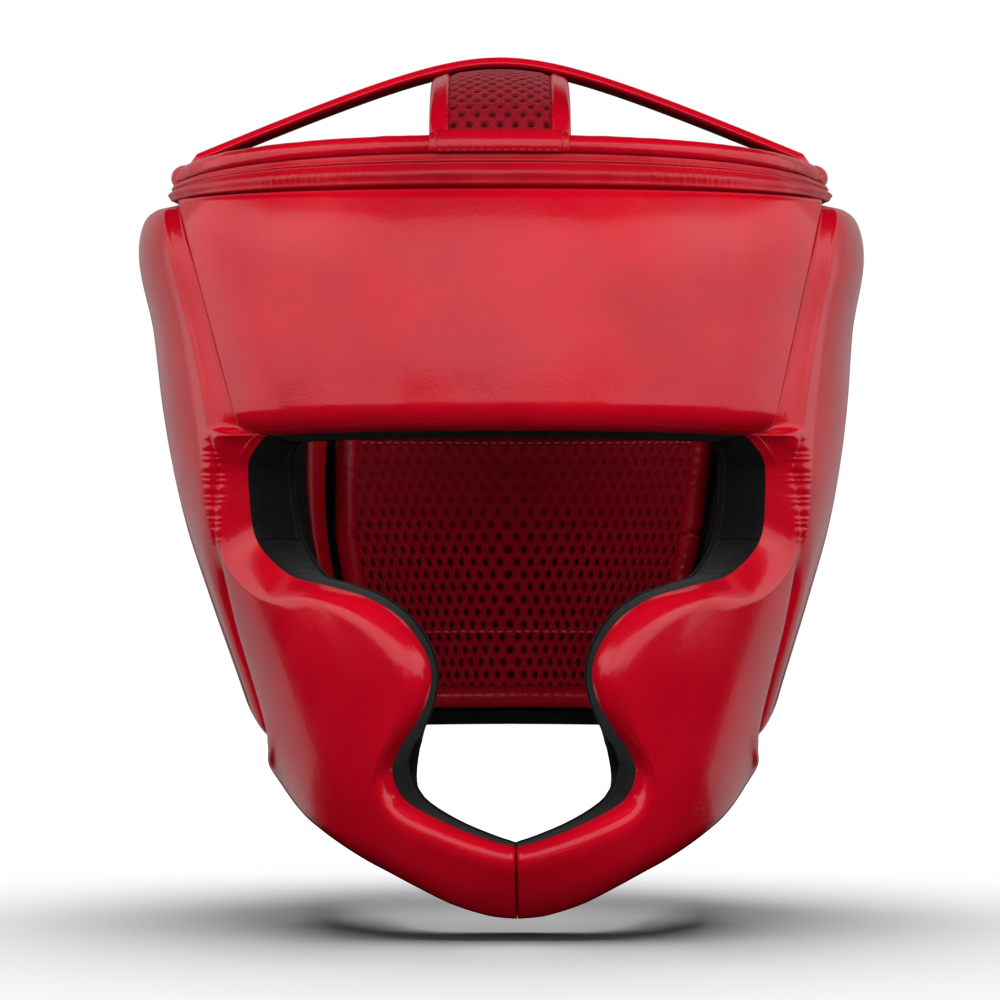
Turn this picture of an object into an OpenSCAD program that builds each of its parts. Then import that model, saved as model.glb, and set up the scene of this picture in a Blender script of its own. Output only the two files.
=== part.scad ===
// Full-face boxing headgear: padded forehead, cheeks, chin bar and ear pads round a head cavity,
// a rim and two crown straps over the top, and a rear flap that swings open on a sewn hinge.
// The origin is the centre of the head cavity at eye level. The face looks along -Y, and +Z is up.

/* [Shell] */
// Width of the guard over the temples
guard_width = 240; // [232:1:248]
// How far the cheeks and forehead stand in front of the origin, as a share of the normal depth
depth_share = 1; // [0.97:0.01:1.03]
// Sideways lean of the soft shell for each millimetre below the rim
lean_per_mm = 0.0236; // [0:0.001:0.03]
// Squareness of the plan outline, where 1 is an ellipse
squareness = 0.87; // [0.84:0.01:0.92]

/* [Padding] */
// Thickness of the padding at the forehead, chin and back of the head
padding = 24; // [22:1:26]
// Extra thickness of the padding over the ears
ear_padding = 8; // [4:1:10]
// Thickness of the outer leather
cover = 1.5; // [1:0.1:2]
// Thickness of the inner lining
lining = 1.3; // [1:0.1:2]
// How far the outer face sinks where it rolls into the eye, nose and mouth openings
edge_roll = 9; // [7:0.5:10]
// How far it sinks at the seams between pads
seam_roll = 5; // [3:0.5:6]

/* [Openings] */
// Height of the brow edge above the origin
brow_height = 21; // [19:0.5:23]
// Half width of the ear hole, front to back
ear_half_width = 13; // [10:1:14]
// Half height of the ear hole
ear_half_height = 20; // [16:1:21]

/* [Straps] */
// Width of the strap that runs from front to back over the crown
crown_strap_width = 45; // [42:1:48]
// Width of the strap that runs from side to side over the crown
arch_strap_width = 24; // [20:1:26]
// Thickness of the strap that runs from side to side
arch_strap_thickness = 3.3; // [3:0.1:3.6]
// Height of the closure strap at the back
closure_height = 56; // [48:1:60]

/* [Hidden] */

leather_red = "#c00020";
dark_red = "#8c0a1c";
mesh_red = "#780c1c";
foam_grey = "#d8d4c8";
lining_black = "#1c1c1f";
loop_black = "#2a2a2e";
hook_grey = "#4a4a50";

skin_gap = 0.1;  // between the layers of one pad
seam = 0.3;  // between neighbouring pads
clearance = 0.4;  // between pieces that move apart
LEFT = 1;  // the wearer's left, at +X
RIGHT = -1;

// Sections of the outer face: height, half width, depth in front of and behind the origin.
SECTIONS = [
    [-132, 62, 114, 62],
    [-110, 72, 127, 74],
    [-88, 81, 134, 88],
    [-60, 90, 137, 100],
    [-33, 99, 134, 109],
    [-7, 107, 127, 116],
    [20, 112.5, 122, 120],
    [55, 116, 119, 121],
    [87, 120, 113, 115],
    [114, 105, 103, 100]
];
width_share = guard_width / 240;
rim_level = 97;  // top of the forehead and of the ear pads
lean_from = 100;  // the lean starts at this height

// ---------------------------------------------------------------- curves and the shell's face

function signed_pow(value, power) = sign(value) * pow(abs(value), power);

// Smooth curve through rows [position, value, ...] at a position, for one column.
function slope_at(rows, i, column) =
    let(a = max(i - 1, 0), b = min(i + 1, len(rows) - 1))
    (rows[b][column] - rows[a][column]) / (rows[b][0] - rows[a][0]);

function span_of(rows, position, i = 0) =
    i >= len(rows) - 2 || position < rows[i + 1][0] ? i : span_of(rows, position, i + 1);

function through(rows, position, column) =
    let(
        i = span_of(rows, position),
        width = rows[i + 1][0] - rows[i][0],
        t = (position - rows[i][0]) / width,
        start = rows[i][column],
        end = rows[i + 1][column],
        rise_start = slope_at(rows, i, column) * width,
        rise_end = slope_at(rows, i + 1, column) * width
    )
    start * (1 + 2 * t) * pow(1 - t, 2) + rise_start * t * pow(1 - t, 2)
    + end * t * t * (3 - 2 * t) + rise_end * t * t * (t - 1);

function half_width(z) = through(SECTIONS, z, 1) * width_share;
function lean(z) = lean_per_mm * (lean_from - z);

// A point of the shell: angle 0 is the middle of the face and +90 is the wearer's left ear.
// The offset is measured outwards from the outer face.
function shell(angle, z, offset) =
    let(
        depth = abs(angle) < 90 ? through(SECTIONS, z, 2) : through(SECTIONS, z, 3),
        x = (half_width(z) + offset) * signed_pow(sin(angle), squareness),
        y = -(depth * depth_share + offset) * signed_pow(cos(angle), squareness)
    )
    [x + lean(z), y, z];

// The angle at which a face sunk by some depth has a given distance from the middle plane.
function angle_at(x, z, sunk = 0) = asin(pow(x / (half_width(z) - sunk), 1 / squareness));

function padding_at(angle) = padding + ear_padding * exp(-pow((abs(angle) - 85) / 30, 2));

// ---------------------------------------------------------------- solids from grids of points

function steps(from, to, count) = [for (i = [0:count]) from + (to - from) * i / count];
function reversed(list) = [for (i = [len(list) - 1:-1:0]) list[i]];
function flat(rows) = [for (row = rows) each row];

// Samples from 0 to 1: even in the middle and close together near both ends, where the pads roll over.
function crowded(count) = concat([0, 0.015, 0.05], steps(0.1, 0.9, count), [0.95, 0.985, 1]);

// Closed solid between an outer and an inner grid with the same number of rows and columns.
// With ring set, the last column joins the first.
module slab(outer, inner, ring = false) {
    rows = len(outer);
    columns = len(outer[0]);
    size = rows * columns;
    spans = ring ? columns : columns - 1;
    function at(row, column) = row * columns + column % columns;
    faces = concat(
        [for (r = [0:rows - 2], c = [0:spans - 1])
            each [[at(r, c), at(r + 1, c), at(r + 1, c + 1)], [at(r, c), at(r + 1, c + 1), at(r, c + 1)]]],
        [for (r = [0:rows - 2], c = [0:spans - 1])
            each [[size + at(r, c), size + at(r + 1, c + 1), size + at(r + 1, c)],
                  [size + at(r, c), size + at(r, c + 1), size + at(r + 1, c + 1)]]],
        [for (c = [0:spans - 1])
            each [[at(0, c), at(0, c + 1), size + at(0, c + 1)],
                  [at(0, c), size + at(0, c + 1), size + at(0, c)]]],
        [for (c = [0:spans - 1])
            each [[at(rows - 1, c), size + at(rows - 1, c + 1), at(rows - 1, c + 1)],
                  [at(rows - 1, c), size + at(rows - 1, c), size + at(rows - 1, c + 1)]]],
        ring ? [] : [for (r = [0:rows - 2])
            each [[at(r, 0), size + at(r, 0), size + at(r + 1, 0)], [at(r, 0), size + at(r + 1, 0), at(r + 1, 0)]]],
        ring ? [] : [for (r = [0:rows - 2])
            each [[at(r, spans), size + at(r + 1, spans), size + at(r, spans)],
                  [at(r, spans), at(r + 1, spans), size + at(r + 1, spans)]]]
    );
    polyhedron(points = concat(flat(outer), flat(inner)), faces = faces, convexity = 6);
}

// Closed bar through a list of cross sections, each a list of points in the same order.
module bar(sections, closed = false) {
    rings = len(sections);
    sides = len(sections[0]);
    spans = closed ? rings : rings - 1;
    function at(ring, side) = (ring % rings) * sides + side % sides;
    faces = concat(
        [for (r = [0:spans - 1], s = [0:sides - 1])
            each [[at(r, s), at(r, s + 1), at(r + 1, s + 1)], [at(r, s), at(r + 1, s + 1), at(r + 1, s)]]],
        closed ? [] : [for (s = [1:sides - 2]) [at(0, 0), at(0, s + 1), at(0, s)]],
        closed ? [] : [for (s = [1:sides - 2]) [at(rings - 1, 0), at(rings - 1, s), at(rings - 1, s + 1)]]
    );
    polyhedron(points = flat(sections), faces = faces, convexity = 6);
}

function unit(v) = v / norm(v);

// Round sections of a cord that follows a path of points.
function cord_sections(path, radii, sides, closed = false) =
    [for (i = [0:len(path) - 1])
        let(
            last = len(path) - 1,
            before = path[closed ? (i + last) % len(path) : max(i - 1, 0)],
            after = path[closed ? (i + 1) % len(path) : min(i + 1, last)],
            along = unit(after - before),
            across = unit(cross(along, abs(along.z) > 0.9 ? [0, 1, 0] : [0, 0, 1])),
            up = cross(across, along)
        )
        [for (s = [0:sides - 1])
            path[i] + radii[i] * (cos(360 * s / sides) * across + sin(360 * s / sides) * up)]];

// ---------------------------------------------------------------- padded pieces

COVER = 0;
FOAM = 1;
LINING = 2;

function layer_top(layer, thickness, roll) =
    layer == COVER ? -roll
    : layer == FOAM ? -roll - cover - skin_gap
    : -thickness + lining;

function layer_base(layer, thickness, roll) =
    layer == COVER ? -roll - cover
    : layer == FOAM ? -thickness + lining + skin_gap
    : -thickness;

// How much of its roll the outer face has made at a share of a pad's width: 1 at both edges.
function rolled(share) = pow(abs(2 * share - 1), 12);

// How far the outer face sinks near the edges of a pad, for places from 0 to 1 across and along it.
function roll_at(u, v, depth = seam_roll) = depth * min(1, rolled(u) + rolled(v));

// One layer of a pad. place(u, v) gives [angle, height]; roll(u, v) gives the sunk depth.
module pad_layer(place, roll, us, vs, layer, ring = false) {
    function point(u, v, top) =
        let(
            spot = place(u, v),
            thickness = padding_at(spot[0]),
            sunk = roll(u, v),
            offset = top ? layer_top(layer, thickness, sunk) : layer_base(layer, thickness, sunk)
        )
        shell(spot[0], spot[1], offset);
    slab(
        [for (v = vs) [for (u = us) point(u, v, true)]],
        [for (v = vs) [for (u = us) point(u, v, false)]],
        ring
    );
}

function layer_colour(layer) = [leather_red, foam_grey, lining_black][layer];

// ---------------------------------------------------------------- forehead

seam_x_low = 82.5;  // half width of the forehead panel at the brow
seam_x_high = 101.5;  // and at the rim
brow_arch = 1.5;  // the brow edge is this much higher in the middle

function seam_x(z) = seam_x_low + (seam_x_high - seam_x_low) * (z - brow_height) / (rim_level - brow_height);
function seam_angle(z) = angle_at(seam_x(z), z, seam_roll);

function forehead_place(u, v) =
    let(
        low = brow_height + brow_arch * (0.5 - pow(2 * u - 1, 2)),
        z = low + (rim_level - low) * v
    )
    [seam_angle(z) * (1 - 2 * u), z];

module forehead(layer) {
    color(layer_colour(layer))
        pad_layer(function (u, v) forehead_place(u, v),
                  function (u, v) roll_at(u, v, v < 0.5 ? edge_roll : seam_roll),
                  crowded(14), crowded(5), layer);
}

// ---------------------------------------------------------------- cheek and chin

// Stations down the strip beside the forehead, round the cheek and along the chin bar: the rolled edge
// on the forehead, eye, nose and mouth, then the outer edge, each as distance from the middle plane and
// height.
CHEEK = [
    [0, seam_x(96.5) + seam, 96.5, 109.5, 96.5],
    [1, seam_x(74) + seam, 74, 105.5, 74],
    [2, seam_x(50) + seam, 50, 99.5, 50],
    [3, seam_x(23) + seam, 23, 95, 23],
    [4, 82.8, 3, 95.5, 0],
    [5, 80.5, -13, 94.5, -21],
    [6, 70, -23.5, 90.5, -41],
    [7, 57, -27, 86, -57],
    [8, 44.5, -30.5, 82, -71.5],
    [9, 34, -37, 78.5, -83],
    [10, 27, -46.5, 75, -91.5],
    [11, 25, -55, 69.5, -98],
    [12, 27, -63.5, 62, -104.5],
    [13, 31.5, -71.5, 54, -110],
    [14, 36.5, -79.5, 46, -114.5],
    [15, 38, -86, 38, -118.3],
    [16, 34, -94, 30.5, -122],
    [17, 21, -101, 20, -127],
    [18, 8, -106, 9, -130.4],
    [19, seam / 2, -108, seam / 2, -131.4]
];
cheek_end = len(CHEEK) - 1;
brow_station = 3.5;  // the seam's stations come before this, and those of the openings after it
crease_end = 9;  // the last station that the cheek shares with the ear pad
crease_gap = 1;  // between the cheek and the ear pad, whose edges bend a little differently

// How far the cheek's outer face sinks at its inner edge: at a seam, then at the openings.
function inner_roll(v) = v < brow_station ? seam_roll : edge_roll;

// Angle and height at a station v and a share u from the inner edge outwards.
function cheek_place(side, u, v) =
    let(
        inner_z = through(CHEEK, v, 2),
        outer_z = through(CHEEK, v, 4),
        inner = [angle_at(through(CHEEK, v, 1), inner_z, inner_roll(v)), inner_z],
        outer = [angle_at(through(CHEEK, v, 3), outer_z), outer_z],
        spot = inner + (outer - inner) * u
    )
    [side * spot[0], spot[1]];

module cheek(side, layer) {
    across = [0, 0.06, 0.2, 0.5, 0.8, 0.94, 1];
    color(layer_colour(layer))
        pad_layer(function (u, v) cheek_place(side, u, v),
                  function (u, v) rolled(u) * (u < 0.5 ? inner_roll(v) : seam_roll),
                  side == LEFT ? reversed(across) : across,
                  reversed(steps(0, cheek_end, cheek_end)), layer);
}

// ---------------------------------------------------------------- ear pads

ear_angle_back = 112;  // where the ear pad meets the wing
ear_spot = [0.62, 0.44];  // middle of the ear hole, as shares across and up the pad
pad_low = CHEEK[crease_end][4];  // the front corner, behind the jaw
pad_low_back = -64;
pad_arc = 118;  // length of the pad round the head at the ear hole
pad_height = rim_level - pad_low;

// The crease beside the forehead, eye and cheek, from the jaw up: height and distance from the middle.
CREASE = [for (i = [crease_end:-1:0]) [CHEEK[i][4], CHEEK[i][3] + crease_gap]];

function ear_place(side, u, v) =
    let(
        low = pad_low + (pad_low_back - pad_low) * pow(u, 0.7),
        z = low + (rim_level - low) * v,
        front = angle_at(through(CREASE, z, 1), z)
    )
    [side * (front + (ear_angle_back - front) * u), z];

// The turn round the ear hole that points at corner q of the pad.
function corner_turn(q) =
    let(
        right = q % 4 == 0 || q % 4 == 3,
        upper = q % 4 < 2,
        turn = atan2(upper ? 1 - ear_spot[1] : -ear_spot[1], right ? 1 - ear_spot[0] : -ear_spot[0])
    )
    turn + (q >= 2 ? 360 : 0) + (q >= 6 ? 360 : 0);

// A place on the square pad at a turn round the ear hole, from the hole (0) out to the pad's edge (1).
function round_ear_hole(turn, out, inset = 0) =
    let(
        c = cos(turn),
        s = sin(turn),
        hole = [(ear_half_width - inset) / pad_arc * c, (ear_half_height - inset) / pad_height * s],
        reach_u = (c > 0 ? 1 - ear_spot[0] : ear_spot[0]) / max(abs(c), 0.001),
        reach_v = (s > 0 ? 1 - ear_spot[1] : ear_spot[1]) / max(abs(s), 0.001),
        edge = min(reach_u, reach_v) * [c, s]
    )
    ear_spot + hole + (edge - hole) * out;

function ear_ring_place(side, turn, out, inset = 0) =
    let(p = round_ear_hole(turn, out, inset))
    ear_place(side, p[0], p[1]);

// Turns that run once round the hole and include the pad's four corners.
corner_steps = 8;
PAD_TURNS = [for (q = [0:3]) let(from = corner_turn(q), to = corner_turn(q + 1))
    each [for (i = [0:corner_steps - 1]) from + (to - from) * i / corner_steps]];

module ear_pad(side, layer) {
    color(layer_colour(layer))
        pad_layer(function (turn, out) ear_ring_place(side, turn, out),
                  function (turn, out) seam_roll * rolled(out),
                  side == LEFT ? PAD_TURNS : reversed(PAD_TURNS),
                  [0, 0.05, 0.2, 0.5, 0.85, 0.97, 1], layer, ring = true);
}

// Round cord of leather that finishes the ear hole.
ear_cord = 2.1;

module ear_hole_binding(side) {
    path = [for (turn = [0:15:345])
        let(spot = ear_ring_place(side, turn, 0, ear_cord + skin_gap))
        shell(spot[0], spot[1], -seam_roll)];
    color(leather_red)
        bar(cord_sections(path, [for (p = path) ear_cord], 8, closed = true), closed = true);
}

// ---------------------------------------------------------------- wings behind the ears

wing_start = ear_angle_back + 0.5;
hinge_polar = 53;  // the flap's sewn hinge: its true angle from the back, on the wearer's left
hinge_gap = 0.4;  // degrees between the hinge and the pads on each side of it
wing_edge_width = 2.6;  // degrees that the binding of the free edge takes
wing_edge_gap = 0.3;
wing_low = -77;
wing_high = 74;

// The shell's angle where an upright plane through the origin cuts it behind the hinge.
function hinge_angle(z) =
    180 - atan(pow(tan(hinge_polar) * through(SECTIONS, z, 3) / half_width(z), 1 / squareness));

// The flap's free edge slants forward towards its foot, and the free wing's edge runs beside it.
edge_level = 21;  // height at which both edges have the angles given here
edge_slant = 12;  // the most that the edges turn above or below that height, in degrees
edge_bend = 60;
free_wing_end = 133.6;
free_flap_end = 219;
function edge_turn(z) =
    let(t = (edge_level - z) / edge_bend) edge_slant * (exp(t) - exp(-t)) / (exp(t) + exp(-t));
function wing_end(z) = free_wing_end - edge_turn(z);
function flap_end(z) = free_flap_end + edge_turn(z);

function wing_place(side, u, v) =
    let(
        low = pad_low_back + (wing_low - pad_low_back) * u,
        high = rim_level + (wing_high - rim_level) * u,
        z = low + (high - low) * v,
        end = side == LEFT ? hinge_angle(z) - hinge_gap : wing_end(z)
    )
    [side * (wing_start + (end - wing_start) * u), z];

module wing(side, layer) {
    across = crowded(1);
    color(layer_colour(layer))
        pad_layer(function (u, v) wing_place(side, u, v), function (u, v) roll_at(u, v),
                  side == LEFT ? across : reversed(across), crowded(6), layer);
}

// A strip that follows the shell between two angles, two heights and two offsets.
module shell_strip(angles, heights, outer, inner) {
    slab(
        [for (z = heights) [for (a = angles) shell(a, z, outer)]],
        [for (z = heights) [for (a = angles) shell(a, z, inner)]]
    );
}

module wing_edge_binding() {
    heights = steps(wing_low + 2, wing_high - 2, 10);
    function face(offset) = [for (z = heights) [for (width = [wing_edge_width, 0])
        shell(-(wing_end(z) + wing_edge_gap + width), z, offset)]];
    color(dark_red) slab(face(-seam_roll / 2), face(-padding - 1));
}

// ---------------------------------------------------------------- rim over the forehead

knob_angle = 77;  // the rim's binding ends here on both sides
rim_cord = 3.4;
rim_front = 112;  // height of the binding's middle at the front
rim_side = 106;  // and at its ends
band_depth = 5;
band_sunk_low = 2;  // the band's outer face is this far inside the shell at the forehead
band_sunk_high = 1;  // and at the rim's binding

function rim_height(angle) = rim_front + (rim_side - rim_front) * pow(angle / knob_angle, 2);
function rim_point(angle) = shell(angle, rim_height(angle), -rim_cord);

module rim_band() {
    angles = steps(-knob_angle, knob_angle, 22);
    low = rim_level + seam;
    function row(share, sunk) =
        [for (a = angles) shell(a, low + (rim_height(a) - rim_cord - seam - low) * share, -sunk)];
    color(leather_red)
        slab([row(0, band_sunk_low), row(1, band_sunk_high)],
             [row(0, band_sunk_low + band_depth), row(1, band_sunk_high + band_depth)]);
}

module rim_binding() {
    angles = steps(-knob_angle, knob_angle, 26);
    path = [for (a = angles) rim_point(a)];
    radii = [for (a = angles) rim_cord];
    color(leather_red) bar(cord_sections(path, radii, 8));
}

// ---------------------------------------------------------------- strap from side to side

arch_top = 147.4;
arch_slope = 0.435;
arch_round = 32;  // how soon the arch bends from its top into its straight sides
arch_reach = 101;  // where it turns down into the ear pads
ARCH_END = [[105.2, 108], [107, 101], [107, rim_level + seam]];

function arch_height(x) = arch_top - arch_slope * (sqrt(x * x + arch_round * arch_round) - arch_round);

// The strap's upper face from side to side, as distance from the middle and height.
ARCH_LINE = concat(
    [for (p = reversed(ARCH_END)) [-p[0], p[1]]],
    [for (x = steps(-arch_reach, arch_reach, 20)) [x, arch_height(x)]],
    ARCH_END
);

// Direction into a strap at point i of the line that its upper face follows.
function line_normal(line, i) =
    let(along = unit(line[min(i + 1, len(line) - 1)] - line[max(i - 1, 0)])) [along[1], -along[0]];

function line_at_depth(line, depth) = [for (i = [0:len(line) - 1]) line[i] + depth * line_normal(line, i)];

// One layer of the strap, between two depths below its upper face.
module arch_layer(from, to) {
    top = line_at_depth(ARCH_LINE, from);
    base = line_at_depth(ARCH_LINE, to);
    half = arch_strap_width / 2;
    slab(
        [for (y = [-half, half]) [for (p = reversed(top)) [p[0], y, p[1]]]],
        [for (y = [-half, half]) [for (p = reversed(base)) [p[0], y, p[1]]]]
    );
}

arch_skin = 1.1;

module arch_strap_top() {
    color(leather_red) arch_layer(0, arch_skin);
}

module arch_strap_core() {
    color(foam_grey) arch_layer(arch_skin + skin_gap, arch_strap_thickness - arch_skin - skin_gap);
}

module arch_strap_underside() {
    color(dark_red) arch_layer(arch_strap_thickness - arch_skin, arch_strap_thickness);
}

// ---------------------------------------------------------------- strap from front to back

// The strap's upper face as distance behind the origin and height, from the rim to the back.
crown_top = arch_top - arch_strap_thickness - clearance;
tail_y = 92.4;  // outer face of the hanging tail, in front of the flap's lining
CROWN_LINE = [
    [-94.4, 111], [-93.2, 117.5], [-87.5, 124.5], [-76, 130.5], [-60, 136], [-42, 140],
    [-20, crown_top - 0.9], [0, crown_top], [22, 142], [44, 138.6], [62, 132], [76, 123], [86, 112],
    [90.2, 105], [91.6, 98.5]
];
crown_half = crown_strap_width / 2;
crown_edge = 6.5;  // width of each leather binding
crown_inner = crown_half - crown_edge;
crown_fade = 90;  // the strap is arched across at the top and flat this far in front and behind

// The strap sags towards its sides where it passes under the other strap.
function crown_sag(x, y) = (arch_top - arch_height(x)) * max(0, 1 - pow(y / crown_fade, 2));

// Depths below the strap's upper face at which its layers start and end.
crown_sunk = 0.4;  // the mesh lies this much lower than the bindings
crown_skin = 1.1;
crown_core = 2.4;
crown_mesh_base = crown_sunk + crown_skin;
crown_core_base = crown_mesh_base + crown_core;
crown_lining_base = crown_core_base + crown_skin;
crown_binding_base = crown_lining_base + 0.8;

module crown_layer(from, to, left, right, strips = 4) {
    across = steps(left, right, strips);
    function rows(depth) = [for (p = line_at_depth(CROWN_LINE, depth))
        [for (x = across) [x, p[0], p[1] - crown_sag(x, p[0])]]];
    slab(rows(from), rows(to));
}

module crown_strap_mesh() {
    color(mesh_red) crown_layer(crown_sunk, crown_mesh_base, -crown_inner, crown_inner);
}

module crown_strap_core() {
    color(foam_grey)
        crown_layer(crown_mesh_base + skin_gap, crown_core_base - skin_gap, -crown_inner, crown_inner);
}

module crown_strap_lining() {
    color(lining_black) crown_layer(crown_core_base, crown_lining_base, -crown_inner, crown_inner);
}

module crown_strap_binding(side) {
    near = crown_inner + skin_gap;
    color(leather_red)
        crown_layer(0, crown_binding_base, side == LEFT ? near : -crown_half,
                    side == LEFT ? crown_half : -near, strips = 1);
}

// Thin leather end of the strap, folded over the front of the rim's binding.
tab_leather = 1.2;
tab_turns = [-30, 125];  // degrees round the rim's binding, from the front over the top

module crown_strap_front_tab() {
    reach = angle_at(crown_half, rim_front);
    angles = steps(-reach, reach, 6);
    turns = steps(tab_turns[0], tab_turns[1], 6);
    near = rim_cord + seam;
    function around(angle, turn, radius) =
        rim_point(angle) + [0, -radius * cos(turn), radius * sin(turn)];
    function row(turn, radius) = [for (a = angles) around(a, turn, radius)];
    color(leather_red)
        slab([for (t = turns) row(t, near + tab_leather)], [for (t = turns) row(t, near)]);
}

// The tail hangs from the crown strap's end and tucks in behind the flap.
tail_top = 96.3;
tail_base = 52;
tail_webbing = 2.2;
tail_hook = 1.2;
tail_half = 20;
hook_height = 16;
hook_inset = 2;

module crown_tail_webbing() {
    color(lining_black)
        translate([-tail_half, tail_y - tail_hook - tail_webbing, tail_base])
            cube([2 * tail_half, tail_webbing, tail_top - tail_base]);
}

module crown_tail_hook_patch() {
    color(hook_grey)
        translate([-tail_half + hook_inset, tail_y - tail_hook + skin_gap, tail_base + 1])
            cube([2 * (tail_half - hook_inset), tail_hook - skin_gap, hook_height]);
}

// ---------------------------------------------------------------- rear flap

flap_low = -78;
flap_high = 71;

function flap_place(u, v) =
    let(
        z = flap_low + (flap_high - flap_low) * v,
        start = hinge_angle(z) + hinge_gap
    )
    [start + (flap_end(z) - start) * u, z];

module flap(layer) {
    color(layer_colour(layer))
        pad_layer(function (u, v) flap_place(u, v), function (u, v) roll_at(u, v),
                  crowded(10), crowded(6), layer);
}

// The quilted mesh pad on the inside of the flap, and the leather cord round its edge.
pad_start = hinge_angle(0) + 3.5;
pad_margin = 2.5;  // degrees between the pad and the flap's free edge
function pad_end(z) = flap_end(z) - pad_margin;
pad_bottom = -72;
pad_top = 42;
pad_depth = 7;
pad_gap = 0.5;  // between the lining and the pad
pad_cord = 3;
cord_arc = 2.4;  // degrees between the pad's edge and the middle of its cord
corner_cut = 0.12;  // the pad's rounded corners take this share off its top and bottom edges

module flap_mesh_pad() {
    low = pad_bottom + pad_cord + skin_gap;
    high = pad_top - pad_cord - skin_gap;
    function spot(u, v) =
        let(
            z = low + (high - low) * v,
            half_arc = ((pad_end(z) - pad_start) / 2 - cord_arc) * (1 - corner_cut * rolled(v))
        )
        [(pad_start + pad_end(z)) / 2 + half_arc * u, z];
    function face(offset) = [for (v = crowded(8)) [for (u = steps(-1, 1, 16))
        let(place = spot(u, v)) shell(place[0], place[1], offset - padding_at(place[0]))]];
    color(mesh_red) slab(face(-pad_gap), face(-pad_depth));
}

module flap_pad_binding() {
    edges = concat([0.06], steps(0.15, 0.85, 7), [0.94]);
    near = 0.02;  // share of each side between the pad's edge and the rounded corner
    far = 1 - near;
    places = concat(
        [for (t = edges) [t, 0]], [[far, near]], [for (t = edges) [1, t]], [[far, far]],
        [for (t = reversed(edges)) [t, 1]], [[near, far]], [for (t = reversed(edges)) [0, t]], [[near, near]]
    );
    path = [for (p = places)
        let(
            z = pad_bottom + (pad_top - pad_bottom) * p[1],
            angle = pad_start + (pad_end(z) - pad_start) * p[0]
        )
        shell(angle, z, -padding_at(angle) - pad_gap - pad_cord)];
    color(leather_red)
        bar(cord_sections(path, [for (p = path) pad_cord - skin_gap], 8, closed = true), closed = true);
}

// Loop tape on the flap's lining, where the crown strap's tail is pressed on.
loop_reach = 12;  // degrees to each side of the middle of the back
loop_thickness = 1.2;

module flap_loop_patch() {
    color(loop_black)
        shell_strip(steps(180 - loop_reach, 180 + loop_reach, 8),
                    steps(tail_base + 1, tail_base + 1 + hook_height, 2),
                    -padding - pad_gap, -padding - pad_gap - loop_thickness);
}

// ---------------------------------------------------------------- closure strap

closure_middle = -4;  // height of the strap's middle line
closure_root = 198;  // the strap's sewn line on the flap
closure_tip = 248;
closure_tab = 253;
closure_lift = 3.1;  // the strap's inner face, above the outer face of the shell
closure_thickness = 1.7;
hook_thickness = 1.2;
base_arc = 16;  // degrees that the closure's sewn base takes on the flap
hook_start = 239;
tab_thicker = 0.4;  // the pull tab stands out this much on both sides of the strap
tab_inset = 5;

// Heights of the closure's pieces, each with its own inset from the strap's edges.
function closure_levels(inset) =
    let(half = closure_height / 2 - inset) steps(closure_middle - half, closure_middle + half, 6);

module closure_base() {
    color(leather_red)
        shell_strip(steps(closure_root - base_arc, closure_root - clearance / 2, 6), closure_levels(0),
                    closure_lift + closure_thickness, pad_gap);
}

module closure_strap() {
    color(lining_black)
        shell_strip(steps(closure_root, closure_tip, 16), closure_levels(0),
                    closure_lift + closure_thickness, closure_lift);
}

module closure_hook_patch() {
    color(hook_grey)
        shell_strip(steps(hook_start, closure_tip - 1, 5), closure_levels(3),
                    closure_lift - skin_gap, closure_lift - hook_thickness);
}

module closure_pull_tab() {
    color(leather_red)
        shell_strip(steps(closure_tip + skin_gap, closure_tab, 2), closure_levels(tab_inset),
                    closure_lift + closure_thickness + tab_thicker, closure_lift - tab_thicker);
}

module wing_loop_patch() {
    top = closure_lift - hook_thickness - clearance;
    color(loop_black)
        shell_strip(steps(hook_start + 1, closure_tab - 2, 6), closure_levels(1), top, top - loop_thickness);
}

forehead(COVER);  // forehead_cover
forehead(FOAM);  // forehead_foam
forehead(LINING);  // forehead_lining
cheek(LEFT, COVER);  // cheek_cover_left
cheek(LEFT, FOAM);  // cheek_foam_left
cheek(LEFT, LINING);  // cheek_lining_left
cheek(RIGHT, COVER);  // cheek_cover_right
cheek(RIGHT, FOAM);  // cheek_foam_right
cheek(RIGHT, LINING);  // cheek_lining_right
ear_pad(LEFT, COVER);  // ear_pad_cover_left
ear_pad(LEFT, FOAM);  // ear_pad_foam_left
ear_pad(LEFT, LINING);  // ear_pad_lining_left
ear_pad(RIGHT, COVER);  // ear_pad_cover_right
ear_pad(RIGHT, FOAM);  // ear_pad_foam_right
ear_pad(RIGHT, LINING);  // ear_pad_lining_right
ear_hole_binding(LEFT);  // ear_hole_binding_left
ear_hole_binding(RIGHT);  // ear_hole_binding_right
wing(LEFT, COVER);  // wing_cover_left
wing(LEFT, FOAM);  // wing_foam_left
wing(LEFT, LINING);  // wing_lining_left
wing(RIGHT, COVER);  // wing_cover_right
wing(RIGHT, FOAM);  // wing_foam_right
wing(RIGHT, LINING);  // wing_lining_right
wing_edge_binding();
wing_loop_patch();
rim_band();
rim_binding();
arch_strap_top();
arch_strap_core();
arch_strap_underside();
crown_strap_mesh();
crown_strap_core();
crown_strap_lining();
crown_strap_binding(LEFT);  // crown_strap_binding_left
crown_strap_binding(RIGHT);  // crown_strap_binding_right
crown_strap_front_tab();
crown_tail_webbing();
crown_tail_hook_patch();
flap(COVER);  // flap_cover
flap(FOAM);  // flap_foam
flap(LINING);  // flap_lining
flap_mesh_pad();
flap_pad_binding();
flap_loop_patch();
closure_base();
closure_strap();
closure_hook_patch();
closure_pull_tab();
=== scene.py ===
import math

import bpy
import numpy as np
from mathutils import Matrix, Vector, noise


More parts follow.
